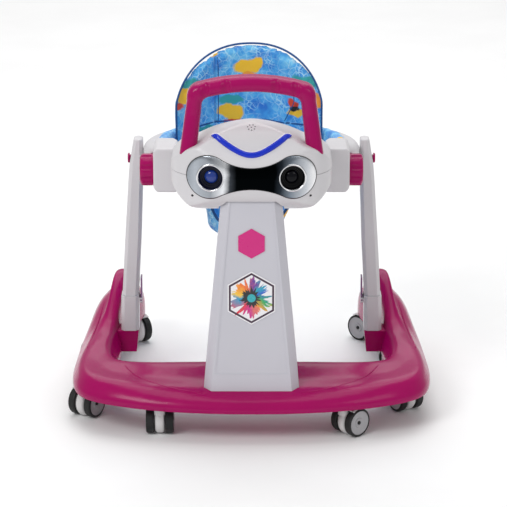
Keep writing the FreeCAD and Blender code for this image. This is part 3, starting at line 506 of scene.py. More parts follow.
def soften(obj, voxel, rounds):
    """Even mesh with every edge rounded."""
    even_mesh(obj, voxel)
    smooth = obj.modifiers.new("smooth", "SMOOTH")
    smooth.factor = 0.5
    smooth.iterations = rounds
    bake_modifiers(obj)


def prism(name, outline, axis, low, high):
    """Straight solid along one axis; the outline is given in the other two."""
    form = bmesh.new()
    rings = []
    for depth in (low, high):
        ring = []
        for point in outline:
            place = list(point)
            place.insert(axis, depth)
            ring.append(form.verts.new(place))
        rings.append(ring)
    form.faces.new(rings[0])
    form.faces.new(rings[1])
    bridge(form, rings)
    return from_bmesh(name, form)


def arc(start, middle, end, steps=14):
    """Points on the circle through three points, without its end."""
    (ax, ay), (bx, by), (cx, cy) = start, middle, end
    d = 2 * (ax * (by - cy) + bx * (cy - ay) + cx * (ay - by))
    sa, sb, sc = ax * ax + ay * ay, bx * bx + by * by, cx * cx + cy * cy
    ux = (sa * (by - cy) + sb * (cy - ay) + sc * (ay - by)) / d
    uy = (sa * (cx - bx) + sb * (ax - cx) + sc * (bx - ax)) / d
    radius = math.hypot(ax - ux, ay - uy)
    first = math.atan2(ay - uy, ax - ux)
    turn = 2 * math.pi
    sweep = (math.atan2(cy - uy, cx - ux) - first) % turn
    if (math.atan2(by - uy, bx - ux) - first) % turn > sweep:
        sweep -= turn
    angles = [first + sweep * k / steps for k in range(steps)]
    return [(ux + radius * math.cos(a), uy + radius * math.sin(a)) for a in angles]


def lathe(name, profile, matrix, segments=64):
    """Closed profile of radius and height, turned about the local Z axis."""
    form = bmesh.new()
    rings = []
    for radius, height in profile:
        ring = []
        for k in range(segments):
            angle = 2 * math.pi * k / segments
            ring.append(form.verts.new((radius * math.cos(angle), radius * math.sin(angle), height)))
        rings.append(ring)
    bridge(form, rings)
    bmesh.ops.remove_doubles(form, verts=form.verts, dist=1e-6)
    obj = from_bmesh(name, form)
    obj.data.transform(matrix)
    return obj


def tube(name, path, radius, closed=False, sides=3):
    """Round tube along a smooth line through the points."""
    curve = bpy.data.curves.new(name, "CURVE")
    curve.dimensions = "3D"
    curve.bevel_depth = radius
    curve.bevel_resolution = sides
    curve.use_fill_caps = not closed
    line = curve.splines.new("NURBS")
    line.points.add(len(path) - 1)
    for point, place in zip(line.points, path):
        point.co = (*place, 1.0)
    line.order_u = 3
    line.resolution_u = 3
    line.use_cyclic_u = closed
    line.use_endpoint_u = not closed
    template = bpy.data.objects.new(name + "_line", curve)
    bpy.context.scene.collection.objects.link(template)
    depsgraph = bpy.context.evaluated_depsgraph_get()
    mesh = bpy.data.meshes.new_from_object(template.evaluated_get(depsgraph))
    bpy.data.objects.remove(template)
    bpy.data.curves.remove(curve)
    return link_object(name, mesh)


def finish_piece(obj, body, material, replaces=(), sharp=40.0):
    """Smooth shading with sharp creases, material and body, and hides the parts it replaces."""
    for face in obj.data.polygons:
        face.use_smooth = True
    obj.data.set_sharp_from_angle(angle=math.radians(sharp))
    dress(obj, material)
    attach(obj, body)
    if replaces:
        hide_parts(*replaces)


def surface_of(obj):
    return BVHTree.FromObject(obj, bpy.context.evaluated_depsgraph_get())


# ---------------------------------------------------------------- sizes read from the frame
MM = 0.001
HEAD_LOW, HEAD_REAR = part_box("head_lower_shell")[0][2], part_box("head_lower_shell")[1][1]
HEAD_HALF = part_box("head_lower_shell")[1][0]
HEAD_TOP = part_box("head_upper_shell")[1][2]
HEAD_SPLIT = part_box("head_upper_shell")[0][2]
HEAD_FRONT = -0.262
RING_Y = 0.5 * (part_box("seat_sling")[0][1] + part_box("seat_sling")[1][1])
WELL_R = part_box("seat_sling")[1][0] + 0.0035
EYE_HEIGHT = 0.5 * (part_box("eye_rings")[0][2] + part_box("eye_rings")[1][2])
EYE_R = 0.5 * (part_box("eye_rings")[1][2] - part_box("eye_rings")[0][2])
EYE_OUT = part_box("eye_rings")[1][0] - EYE_R
SLOPE_TILT = math.atan2(0.62, 0.785)


# ---------------------------------------------------------------- console
def console_block():
    """Solid console: front, side and plan outlines crossed, then softened."""
    half, low, top, rear, front = HEAD_HALF, HEAD_LOW, HEAD_TOP, HEAD_REAR, HEAD_FRONT
    right = (
        [(80 * MM, low + 3 * MM)]
        + arc((80 * MM, low + 3 * MM), (113 * MM, low + 19 * MM), (half, low + 46 * MM))[1:]
        + [(half, low + 46 * MM)]
        + arc((half, low + 82 * MM), (118 * MM, top - 50 * MM), (90 * MM, top - 37 * MM))
        + arc((90 * MM, top - 37 * MM), (48 * MM, top - 14 * MM), (0.0, top - 2 * MM))
    )
    front_outline = right + [(0.0, top - 2 * MM)] + [(-x, z) for x, z in reversed(right)]
    side_outline = (
        [(rear, low)]
        + arc((-206 * MM, low + 4 * MM), (front + 16 * MM, low + 24 * MM), (front + 3 * MM, low + 48 * MM))
        + arc((front + 3 * MM, low + 48 * MM), (front, low + 62 * MM), (front, low + 74 * MM))
        + arc((front, low + 74 * MM), (front + 5 * MM, low + 97 * MM), (front + 18 * MM, low + 116 * MM))
        + arc((front + 18 * MM, low + 116 * MM), (-225 * MM, top - 15 * MM), (-196 * MM, top))
        + arc((-176 * MM, top - 1 * MM), (-136 * MM, top - 32 * MM), (rear, top - 73 * MM))
        + [(rear, top - 73 * MM)]
    )
    plan_outline = (
        [(half, rear)]
        + arc((half, -170 * MM), (half - 6.5 * MM, -207 * MM), (112 * MM, -232 * MM))
        + arc((112 * MM, -232 * MM), (0.0, -264 * MM), (-112 * MM, -232 * MM))
        + arc((-112 * MM, -232 * MM), (6.5 * MM - half, -207 * MM), (-half, -170 * MM))
        + [(-half, -170 * MM), (-half, rear)]
    )
    block = prism("console_block", front_outline, 1, -0.4, 0.0)
    boolean(block, prism("side_view", side_outline, 0, -0.3, 0.3), "INTERSECT")
    boolean(block, prism("plan_view", plan_outline, 2, 0.3, 0.7), "INTERSECT")
    soften(block, 2.6 * MM, 26)
    return block


def rod(name, radius, start, direction, length, segments=48):
    """Plain cylinder used as a cutter."""
    turn = Vector(direction).to_track_quat("Z", "Y").to_matrix().to_4x4()
    matrix = Matrix.Translation(start) @ turn
    return lathe(name, [(0, 0), (radius, 0), (radius, length), (0, length)], matrix, segments)


def slope_frame(centre):
    """Local axes of a control on the slope: Z points out of the slope."""
    return Matrix.Translation(centre) @ Matrix.Rotation(-SLOPE_TILT, 4, "X")


def middle(node):
    low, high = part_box(node)
    return Vector([(a + b) / 2 for a, b in zip(low, high)])


def column_outline(margin):
    low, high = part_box("column_front")
    t = (HEAD_LOW - low[2]) / (high[2] - low[2])
    half = high[0] + t * (47 * MM - high[0]) + margin
    front = low[1] + t * 20 * MM - margin
    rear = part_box("column_rear")[1][1] + margin
    cut = 13 * MM
    return [
        (-half, rear), (-half, front + cut), (-half + cut, front),
        (half - cut, front), (half, front + cut), (half, rear),
    ]


def cut_console(block):
    """Openings of the console: eyes, column, tray well, controls and speaker."""
    for side in (1, -1):
        eye = (side * EYE_OUT, -0.3, EYE_HEIGHT)
        boolean(block, rod("eye_bore", EYE_R - 1 * MM, eye, (0, 1, 0), 0.085))
    column_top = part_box("column_front")[1][2] + 6 * MM
    boolean(block, prism("column_bore", column_outline(1.5 * MM), 2, HEAD_LOW - 0.02, column_top))
    boolean(block, rod("well", WELL_R, (0, RING_Y, 0.3), (0, 0, 1), 0.3, 128))
    for side in ("left", "right"):
        place = slope_frame(middle("play_button_" + side))
        profile = [(0, -14), (17.6, -14), (17.6, -1), (14.8, -1), (14.8, 20), (0, 20)]
        boolean(block, lathe("button_bore", [(r * MM, h * MM) for r, h in profile], place))
    slot = prism("switch_bore", [(-15 * MM, -8 * MM), (19 * MM, -8 * MM), (19 * MM, 8 * MM),
                                 (-15 * MM, 8 * MM)], 2, -14 * MM, -0.5 * MM)
    slot.data.transform(slope_frame(middle("power_switch")))
    boolean(block, slot)
    gate = prism("switch_gate", [(-10 * MM, -4.8 * MM), (13 * MM, -4.8 * MM), (13 * MM, 4.8 * MM),
                                 (-10 * MM, 4.8 * MM)], 2, -3 * MM, 14 * MM)
    gate.data.transform(slope_frame(middle("power_switch") + Vector((0.0035, 0, 0))))
    boolean(block, gate)
    normal = Vector((0, -0.5, 0.866))
    along = Vector((0, 0.866, 0.5))
    centre = Vector((0, -0.216, HEAD_TOP - 9 * MM))
    for radius, count in ((0.0, 1), (6.4, 7)):
        for k in range(count):
            angle = 2 * math.pi * (k + 0.3) / count
            spot = centre + (Vector((1, 0, 0)) * math.cos(angle) + along * math.sin(angle)) * radius * MM
            boolean(block, rod("hole", 1.5 * MM, spot - normal * 0.012, normal, 0.03, 14))
    for side in (1, -1):
        clip = (side * 100 * MM, -0.3, HEAD_LOW + 35 * MM)
        boolean(block, rod("clip_mark", 2.2 * MM, clip, (0, 1, 0), 0.08, 20))


def build_console():
    block = console_block()
    skin = surface_of(block)
    cut_console(block)
    seam = 0.35 * MM
    lower = copy_of(block, "console_lower")
    boolean(lower, prism("above", SQUARE, 2, HEAD_SPLIT - seam, 0.8))
    boolean(block, prism("below", SQUARE, 2, 0.2, HEAD_SPLIT + seam))
    block.name = "console_upper"
    finish_piece(block, "upper", "white_plastic", ["head_upper_shell"], 32)
    finish_piece(lower, "upper", "white_plastic", ["head_lower_shell"], 32)
    return skin


SQUARE = [(-0.5, -0.5), (0.5, -0.5), (0.5, 0.5), (-0.5, 0.5)]


def on_front(skin, x, z, lift=0.0):
    """Point of the console's front at x and z, moved out along its normal."""
    place = None
    while place is None:
        place, normal, _, _ = skin.ray_cast(Vector((x, -0.6, z)), Vector((0, 1, 0)))
        z -= 1 * MM
    if normal.y > 0:
        normal = -normal
    return place + normal * lift


def mask_outline():
    """Two round lobes joined by a narrow waist, from the right lobe round."""
    lobe, reach, waist = 37 * MM, 72.5 * MM, 17 * MM
    z = EYE_HEIGHT + 0.5 * MM
    joint = (52 * MM, 31 * MM)
    points = arc((joint[0], z - joint[1]), (reach + lobe, z), (joint[0], z + joint[1]), 44)
    points += arc((joint[0], z + joint[1]), (0, z + waist), (-joint[0], z + joint[1]), 26)
    points += arc((-joint[0], z + joint[1]), (-reach - lobe, z), (-joint[0], z - joint[1]), 44)
    points += arc((-joint[0], z - joint[1]), (0, z - waist - 2 * MM), (joint[0], z - joint[1]), 26)
    return points, reach, z


def build_mask(skin):
    outline, reach, z = mask_outline()
    levels = [(0.0, 1.3), (0.3, 1.3), (0.55, 1.3), (0.75, 1.3), (0.88, 1.3), (0.95, 1.25),
              (0.98, 0.95), (0.995, 0.3), (1.0, -1.2)]
    form = bmesh.new()
    rings = []
    for share, lift in levels:
        ring = []
        for x, height in outline:
            spine = max(-reach, min(reach, x))
            place = (spine + (x - spine) * share, z + (height - z) * share)
            ring.append(form.verts.new(on_front(skin, *place, lift * MM)))
        rings.append(ring)
    bridge(form, rings)
    bmesh.ops.remove_doubles(form, verts=form.verts, dist=2e-5)
    mask = from_bmesh("mirror_mask", form)
    thick = mask.modifiers.new("thickness", "SOLIDIFY")
    thick.thickness = 1.5 * MM
    thick.offset = -1.0
    bake_modifiers(mask)
    for side in (1, -1):
        eye = (side * EYE_OUT, -0.3, EYE_HEIGHT)
        boolean(mask, rod("eye_bore", EYE_R - 1 * MM, eye, (0, 1, 0), 0.085))
    finish_piece(mask, "upper", "metallised_mask", ["face_mask"], 50)
    # thin black tube round the mask: painted shade of the gap between mask and console
    line = [on_front(skin, x, height, 0.1 * MM) for x, height in outline]
    gap_shade_line = tube("mask_painted_gap_shade", line, 0.9 * MM, closed=True)
    finish_piece(gap_shade_line, "upper", "black_plastic")


def build_eyes(skin):
    """Chrome ring, stepped dark cup and glossy dome, square to the face."""
    for side, tag in ((-1, "left"), (1, "right")):
        x = side * EYE_OUT
        place, normal, _, _ = skin.ray_cast(Vector((x, -0.6, EYE_HEIGHT)), Vector((0, 1, 0)))
        if normal.y > 0:
            normal = -normal
        normal = (normal + Vector((0, -1.2, 0))).normalized()
        matrix = Matrix.Translation(place) @ normal.to_track_quat("Z", "Y").to_matrix().to_4x4()
        r = EYE_R
        ring_profile = [
            (r + 0.4 * MM, -4 * MM), (r + 0.4 * MM, 1.6 * MM), (r - 0.3 * MM, 2.8 * MM),
            (r - 1.6 * MM, 3.2 * MM), (r - 2.8 * MM, 2.7 * MM), (r - 3.3 * MM, 1.4 * MM),
            (r - 3.6 * MM, -4 * MM), (r + 0.4 * MM, -4 * MM),
        ]
        ring = lathe("eye_ring_" + tag, ring_profile, matrix, 96)
        finish_piece(ring, "upper", "chrome_ring", ["eye_rings"], 50)
        cup_profile = [
            (r - 3.4 * MM, 1.0 * MM), (r - 5.0 * MM, -1.5 * MM), (r - 5.6 * MM, -4 * MM),
            (r - 8.0 * MM, -4.6 * MM), (r - 8.6 * MM, -6.4 * MM), (r - 11 * MM, -6.9 * MM),
            (r - 11.6 * MM, -8.4 * MM), (0, -8.8 * MM), (0, -11 * MM), (r - 3.4 * MM, -11 * MM),
            (r - 3.4 * MM, 1.0 * MM),
        ]
        # cup and lens colours follow the side: painted lit copy on the left, painted shaded copy on the right
        cup = lathe("eye_cup_" + tag, cup_profile, matrix, 96)
        finish_piece(cup, "upper", "eye_cup_" + tag, (), 25)
        dome_r = r - 12.5 * MM
        dome_profile = [(0, -10 * MM), (dome_r, -10 * MM)]
        for k in range(13):
            angle = 0.5 * math.pi * k / 12
            dome_profile.append((dome_r * math.cos(angle), -8 * MM + 6.2 * MM * math.sin(angle)))
        dome = lathe("eye_lens_" + tag, dome_profile, matrix, 64)
        finish_piece(dome, "upper", "lens_" + tag, ["eye_lenses"], 60)


def build_light_bar(skin):
    low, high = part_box("light_strip")
    half = high[0] - 1.5 * MM
    bottom = low[2] + 2.5 * MM
    rise = high[2] - 5 * MM - bottom
    bend = 0.55
    full = math.sqrt(1 + 1 / bend ** 2) - 1
    path = []
    for k in range(33):
        u = k / 16 - 1
        z = bottom + rise * (math.sqrt(1 + (u / bend) ** 2) - 1) / full
        path.append(on_front(skin, half * u, z, -0.8 * MM))
    bar = tube("light_bar", path, 5.3 * MM, sides=6)
    finish_piece(bar, "upper", "blue_light_bar", ["light_strip"])
    rim = tube("light_bar_rim", [p + Vector((0, 2.2 * MM, -0.6 * MM)) for p in path], 6.2 * MM, sides=5)
    finish_piece(rim, "upper", "rim_white")


# ---------------------------------------------------------------- handle
def round_front(obj, outline, front, radius):
    """Quarter-round between the front face of a flat bar and its sides."""
    pairs = [(Vector(a), Vector(b)) for a, b in zip(outline, outline[1:] + outline[:1])]
    for vertex in obj.data.vertices:
        if vertex.co.y > front + radius:
            continue
        place = Vector((vertex.co.x, vertex.co.z))
        nearest = radius
        for a, b in pairs:
            along = b - a
            share = max(0.0, min(1.0, (place - a).dot(along) / max(along.dot(along), 1e-12)))
            nearest = min(nearest, (place - a - along * share).length)
        lift = radius - math.sqrt(radius ** 2 - (radius - nearest) ** 2)
        vertex.co.y = max(vertex.co.y, front + lift)


GRIP_DENTS = (-79, -44, 40, 74)     # x of the finger dents in millimetres
DENT_DEPTH = 6.5 * MM
LEG_BEND_Z = 0.565                  # below this the legs lean forward


def build_handle():
    low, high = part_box("carry_handle")
    top = high[2]
    foot = 0.492     # just inside the console
    outer_leg, outer_corner, shoulder = 123 * MM, (109 * MM, top - 40 * MM), (88 * MM, top - 12 * MM)
    inner_leg, inner_corner, armpit = 94 * MM, (84 * MM, top - 52 * MM), (70 * MM, top - 35.5 * MM)
    bend = (104 * MM, top - 21 * MM)
    inner_bend = (80 * MM, top - 40 * MM)

    def half_line(sign, leg, corner, turn, crown):
        corner, turn, crown = [(sign * x, z) for x, z in (corner, turn, crown)]
        return [(sign * leg, foot), corner] + arc(corner, turn, crown, 10)[1:] + [crown]

    right = half_line(1, outer_leg, outer_corner, bend, shoulder)
    left = half_line(-1, outer_leg, outer_corner, bend, shoulder)
    outer = right[:-1] + arc(shoulder, (0, top), (-shoulder[0], shoulder[1]), 30) + left[::-1]
    under_right = half_line(1, inner_leg, inner_corner, inner_bend, armpit)
    under_left = half_line(-1, inner_leg, inner_corner, inner_bend, armpit)
    under = arc((-armpit[0], armpit[1]), (0, top - 27 * MM), armpit, 30)
    inner = under_left[:-1] + under + under_right[::-1]
    front = low[1] - 7 * MM
    handle = prism("handle_grip", outer + inner, 1, front, high[1] - 3 * MM)
    soften(handle, 2.0 * MM, 1)
    round_front(handle, outer + inner, front, 13 * MM)
    soften(handle, 1.6 * MM, 14)
    for vertex in handle.data.vertices:
        for x in GRIP_DENTS:
            z = top - 14 * MM - 10 * MM * (x * MM / 0.093) ** 2
            across = (vertex.co.x - x * MM) / (8.5 * MM)
            up = (vertex.co.z - z) / (13.0 * MM)
            reach = across * across + up * up
            if reach < 1 and vertex.co.y < front + 14 * MM:
                vertex.co.y += DENT_DEPTH * (1 - reach) ** 0.7 * (0.6 + 0.4 * across)
        below = LEG_BEND_Z - vertex.co.z
        if below > 0:
            vertex.co.y -= 0.1 * below
    finish_piece(handle, "upper", "magenta_plastic", ["carry_handle"], 80)


# ---------------------------------------------------------------- soft pieces
RIGHT_SHARE = 0.94     # the fabric back is a little narrower on its right
SEAMS_X = (-65 * MM, 72 * MM)     # seams of the backrest
FOLD_Z = 461           # crease of the backrest in millimetres
RING_MIDDLE = 455 * MM     # height of the tray's top surface at RING_Y


def back_top(x):
    """Height of the backrest's arched edge at x."""
    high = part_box("backrest")[1]
    half = (high[0] + 1 * MM) * (1.0 if x < 0 else RIGHT_SHARE)
    share = min(1.0, abs(x) / half)
    return high[2] - 114 * MM + 113 * MM * math.sqrt(max(0.0, 1 - share ** 2.3))


def back_point(u, v, depth):
    """Point of the backrest: u across, v up, depth out from its middle layer."""
    low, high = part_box("backrest")
    radius = high[1] - RING_Y - 7 * MM
    reach = math.asin(min(0.98, (high[0] - 1 * MM) / radius))
    angle = reach * (2 * u - 1)
    if angle > 0:
        angle = math.asin(RIGHT_SHARE * math.sin(angle))
    x = radius * math.sin(angle)
    z = low[2] + v * (back_top(x) - low[2])
    return Vector((
        (radius + depth) * math.sin(angle), RING_Y + (radius + depth) * math.cos(angle), z,
    ))


def padded_form(name, columns, rows, point, thickness):
    """Closed pillow: two layers of a grid, thinner at the border, and its edge wall."""
    form = bmesh.new()
    layers = []
    for side in (-1, 1):
        grid = []
        for i in range(columns + 1):
            u = i / columns
            line = []
            for j in range(rows + 1):
                v = j / rows
                full = (1 - abs(2 * u - 1) ** 8) * (1 - abs(2 * v - 1) ** 8)
                line.append(form.verts.new(point(u, v, side * 0.5 * thickness * (0.55 + 0.45 * full))))
            grid.append(line)
        layers.append(grid)
    for grid in layers:
        for i in range(columns):
            for j in range(rows):
                form.faces.new((grid[i][j], grid[i + 1][j], grid[i + 1][j + 1], grid[i][j + 1]))
    border = [(i, 0) for i in range(columns)] + [(columns, j) for j in range(rows)]
    border += [(i, rows) for i in range(columns, 0, -1)] + [(0, j) for j in range(rows, 0, -1)]
    first, second = layers
    for (i, j), (m, n) in zip(border, border[1:] + border[:1]):
        form.faces.new((first[i][j], first[m][n], second[m][n], second[i][j]))
    return from_bmesh(name, form)


def plump(obj, voxel, pressure, cap):
    """Inflate a closed form a little, as stuffing does, and keep it near its first shape."""
    even_mesh(obj, voxel)
    bake_modifiers(obj)
    before = [v.co.copy() for v in obj.data.vertices]
    cloth = obj.modifiers.new("cloth", "CLOTH")
    settings = cloth.settings
    settings.use_pressure = True
    settings.uniform_pressure_force = pressure
    settings.effector_weights.gravity = 0.0
    settings.quality = 5
    scene = bpy.context.scene
    for step in range(1, 21):
        scene.frame_set(step)
    bake_modifiers(obj)
    scene.frame_set(1)
    for vertex, start in zip(obj.data.vertices, before):
        move = vertex.co - start
        if move.length > cap:
            vertex.co = start + move * (cap / move.length)


def subdivide(obj):
    obj.modifiers.new("subdivision", "SUBSURF").levels = 1
    bake_modifiers(obj)


def build_backrest():
    pad = padded_form("backrest_pad", 48, 28, back_point, 7 * MM)
    plump(pad, 4.0 * MM, 3.5, 5 * MM)
    subdivide(pad)
    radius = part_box("backrest")[1][1] - RING_Y - 7 * MM
    for vertex in pad.data.vertices:
        co = vertex.co
        across = Vector((co.x, co.y - RING_Y, 0))
        depth = across.length - radius
        lean = 0.0 if co.x < 0 else 0.45
        for seam_x in SEAMS_X:
            gap = abs(co.x - seam_x - lean * (co.z - 0.47)) / (4 * MM)
            if gap < 1:
                co -= across.normalized() * depth * 0.45 * (1 - gap * gap)
        wrinkle = noise.noise(Vector((co.x * 26, co.z * 26, 3.0)))
        co += across.normalized() * wrinkle * 1.4 * MM
    pad.data.update()
    finish_piece(pad, "upper", "printed_back", ["backrest"], 180)
    skin = surface_of(pad)
    seams = {
        "left": [(-65, z) for z in range(440, 586, 12)],
        "right": [(84 - 0.12 * (z - 500) ** 2 / 20 if z > 500 else 84 - 0.5 * (500 - z), z)
                  for z in range(440, 560, 12)],
        "fold": [(x, FOLD_Z + 1.5 * math.sin(x * 0.07)) for x in range(-126, 121, 9)],
    }
    for tag, line in seams.items():
        path = []
        for x, z in line:
            direction = Vector((x * MM, math.sqrt(radius ** 2 - (x * MM) ** 2), 0)).normalized()
            hit = skin.ray_cast(Vector((0, RING_Y, z * MM)), direction)[0]
            if hit:
                path.append(hit + direction * 0.3 * MM)
        seam = tube("backrest_seam_" + tag, path, (1.6 if tag == "fold" else 1.0) * MM, sides=2)
        finish_piece(seam, "upper", "blue_binding")
    edge = [back_point(0, k / 8, 0) for k in range(8)]
    edge += [back_point(k / 60, 1.0, 0) for k in range(61)]
    edge += [back_point(1, 1 - k / 8, 0) for k in range(1, 9)]
    piping = tube("backrest_piping", edge, 1.9 * MM)
    finish_piece(piping, "upper", "blue_binding")


def seat_radius(z):
    """Radius and sideways sag of the sling at a height."""
    rows = [(0.285, 0.0), (0.2856, 0.036), (0.289, 0.056), (0.298, 0.067), (0.32, 0.073),
            (0.34, 0.079), (0.37, 0.098), (0.40, 0.126), (0.425, 0.142), (0.452, 0.149)]
    for (z0, r0), (z1, r1) in zip(rows, rows[1:]):
        if z <= z1:
            t = max(0.0, (z - z0) / (z1 - z0))
            return r0 + (r1 - r0) * t
    return rows[-1][1]


def build_seat():
    low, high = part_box("seat_sling")
    form = bmesh.new()
    around, rows = 120, 44
    rings = []
    bottom, top = 0.2852, high[2] + 2 * MM
    for j in range(rows + 1):
        share = (j / rows) ** 1.6
        z = bottom + (top - bottom) * share
        ring = []
        for k in range(around):
            angle = 2 * math.pi * k / around
            fold = 1 + 0.02 * math.sin(13 * angle) * math.sin(math.pi * min(1, share * 1.2))
            fold += 0.03 * noise.noise(Vector((math.cos(angle) * 2, math.sin(angle) * 2, z * 22)))
            r = min(seat_radius(z) * fold, WELL_R - 3.2 * MM)
            sag = -14 * MM * (1 - share) ** 2
            ring.append(form.verts.new((r * math.cos(angle) + sag, RING_Y + r * math.sin(angle), z)))
        rings.append(ring)
    form.faces.new(rings[0])
    bridge(form, rings)
    seat = from_bmesh("seat_cloth", form)
    solid = seat.modifiers.new("thickness", "SOLIDIFY")
    solid.thickness = 2.2 * MM
    bake_modifiers(seat)
    subdivide(seat)
    holes = []
    for side in (1, -1):
        start = Vector((side * 4 * MM, RING_Y - 12 * MM, low[2] + 62 * MM))
        direction = Vector((side * 0.62, -0.78, -0.12)).normalized()
        holes.append((start, direction))
    skin = surface_of(seat)
    for index, (start, direction) in enumerate(holes):
        turn = direction.to_track_quat("Z", "Y").to_matrix()
        edge = []
        for k in range(40):
            angle = 2 * math.pi * k / 40
            offset = turn @ Vector((36 * MM * math.cos(angle), 30 * MM * math.sin(angle), 0))
            hit = skin.ray_cast(start + offset, direction)[0]
            if hit:
                edge.append(hit)
        if len(edge) > 20:
            binding = tube("leg_hole_binding_" + ("right", "left")[index], edge, 2.6 * MM, closed=True)
            finish_piece(binding, "upper", "blue_binding")
        profile = [(0, 0), (1, 0), (1, 0.25), (0, 0.25)]
        cutter = lathe("leg_cut", profile, Matrix.Identity(4), 48)
        shape = Matrix.Translation(start) @ turn.to_4x4() @ Matrix.Diagonal((36 * MM, 30 * MM, 1, 1))
        cutter.data.transform(shape)
        boolean(seat, cutter)
    finish_piece(seat, "upper", "printed_seat", ["seat_sling"], 60)


def ring_top(y):
    """Height of the tray's top surface at y."""
    if y < RING_Y:
        return RING_MIDDLE + 0.15 * (RING_Y - y)
    return RING_MIDDLE - 0.0525 * (y - RING_Y)


def build_tray():
    """Tray ring with rounded lips, a short skirt, and a deep plate beside each side of the console."""
    wall, depth = 3.0, 46.0
    inner, outer = WELL_R / MM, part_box("tray_ring")[1][0] / MM
    section = []
    for centre_r, radius, first, last in ((inner + 7, 7, 180, 90), (outer - 15, 15, 90, 0)):
        for k in range(7):
            angle = math.radians(first + (last - first) * k / 6)
            section.append((centre_r + radius * math.cos(angle), -radius + radius * math.sin(angle)))
    section += [(outer, -depth), (outer - wall, -depth), (outer - wall, -17), (outer - 16, -wall),
                (inner + 8, -wall), (inner + wall, -9), (inner + wall, -depth), (inner, -depth)]
    form = bmesh.new()
    rings = []
    steps = 180
    for i in range(steps + 1):
        angle = math.radians(-72 + 324 * i / steps)
        ring = []
        for r, h in section:
            x, y = r * MM * math.cos(angle), RING_Y + r * MM * math.sin(angle)
            ring.append(form.verts.new((x, y, ring_top(y) + h * MM)))
        rings.append(ring)
    bridge(form, rings, capped=True)
    tray = from_bmesh("tray_body", form)
    boolean(tray, prism("front_cut", [(-0.3, -0.3), (0.3, -0.3), (0.3, HEAD_REAR), (-0.3, HEAD_REAR)],
                        2, 0.3, 0.7))
    knob_low, knob_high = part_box("side_knob_right")
    knob = middle("side_knob_right")
    for side in (1, -1):
        low, high = HEAD_LOW + 1 * MM, HEAD_LOW + 80 * MM
        face = knob_high[0] - 25 * MM
        plate_outline = [(HEAD_HALF - 8 * MM, low), (face - 6 * MM, low), (face, low + 8 * MM),
                         (face, high - 4 * MM), (face - 5 * MM, high), (HEAD_HALF - 8 * MM, high)]
        plate = prism("plate", [(side * x, z) for x, z in plate_outline], 1, HEAD_REAR - 1 * MM, -18 * MM)
        soften(plate, 2.0 * MM, 10)
        boolean(plate, rod("well", WELL_R, (0, RING_Y, 0.3), (0, 0, 1), 0.3, 128))
        boolean(tray, plate, "UNION")
        radius = 0.5 * (knob_high[2] - knob_low[2]) + 2 * MM
        start = (side * (face - 0.5 * MM), knob.y, knob.z)
        boolean(tray, rod("pocket", radius, start, (side, 0, 0), 0.06, 64))
        boolean(tray, rod("pin_bore", 5.4 * MM, (side * 0.155, knob.y, knob.z), (side, 0, 0), 0.03, 32))
        cap = middle("leg_caps")
        boss = rod("boss", 11 * MM, (side * (WELL_R + 1 * MM), cap.y, cap.z), (side, 0, 0),
                   outer * MM - WELL_R - 0.6 * MM, 40)
        for target in (boss, tray):
            bolt_end = (side * 0.168, cap.y, cap.z)
            boolean(target, rod("bolt_bore", 6.2 * MM, bolt_end, (side, 0, 0), 0.05, 32))
        boolean(tray, boss, "UNION")
    finish_piece(tray, "upper", "white_plastic", ["tray_ring"], 38)


def build_seat_cover():
    """Padded fabric rim that folds over the tray's inner edge, open behind the console."""
    start, end = math.radians(-36), math.radians(216)
    steps = 150
    section = [
        (-5.5, -14), (-5.0, -3), (-3.0, 4.5), (1.5, 8.2), (7, 8.6), (12, 7.0), (16, 3.8),
        (17.5, 0.6), (12, 0.4), (6, 0.4), (1.5, 0.2), (-2.0, -3), (-3.2, -14),
    ]
    form = bmesh.new()
    rings = []
    for i in range(steps + 1):
        u = i / steps
        angle = start + (end - start) * u
        close = min(1.0, min(u, 1 - u) * 14) ** 0.5
        ring = []
        for r, h in section:
            bump = noise.noise(Vector((angle * 7.0, r * 0.09, h * 0.09))) * 2.6
            fold = noise.noise(Vector((angle * 19.0, r * 0.05, 7.0))) * 1.5
            radius = WELL_R + (r * (0.35 + 0.65 * close) + (bump if r > 3 else 0)) * MM
            x, y = radius * math.cos(angle), RING_Y + radius * math.sin(angle)
            lift = h * close + (bump * 0.5 + fold if h > 2 else 0) * close
            ring.append(form.verts.new((x, y, ring_top(y) + lift * MM + 0.5 * MM)))
        rings.append(ring)
    bridge(form, rings, capped=True)
    cover = from_bmesh("seat_rim_cover", form)
    subdivide(cover)
    finish_piece(cover, "upper", "printed_seat", (), 60)


# ---------------------------------------------------------------- castors, in millimetres
WHEEL_R = 25.5
TRAIL = 17.0
FENDER_ANGLES = (64, 122)     # degrees round the axle, from the rear


def castor_matrix(name):
    """Local frame of a castor: stem on Z at the origin, trail along X."""
    stem = next(j for j in frame["joints"] if j["name"] == "castor_" + name + "_swivel")["pos_m"]
    axle = middle("castor_" + name + "_tyres")
    heading = math.atan2(axle.y - stem[1], axle.x - stem[0])
    return Matrix.Translation((stem[0], stem[1], 0)) @ Matrix.Rotation(heading, 4, "Z")


def disc_along_y(name, profile, matrix, segments=48):
    """Lathe about the castor's axle line."""
    turn = Matrix.Rotation(math.radians(-90), 4, "X")
    return lathe(name, [(r * MM, h * MM) for r, h in profile], matrix @ turn, segments)


def join(name, pieces):
    form = bmesh.new()
    for piece in pieces:
        form.from_mesh(piece.data)
        discard(piece)
    mesh = bpy.data.meshes.new(name)
    form.to_mesh(mesh)
    form.free()
    return link_object(name, mesh)


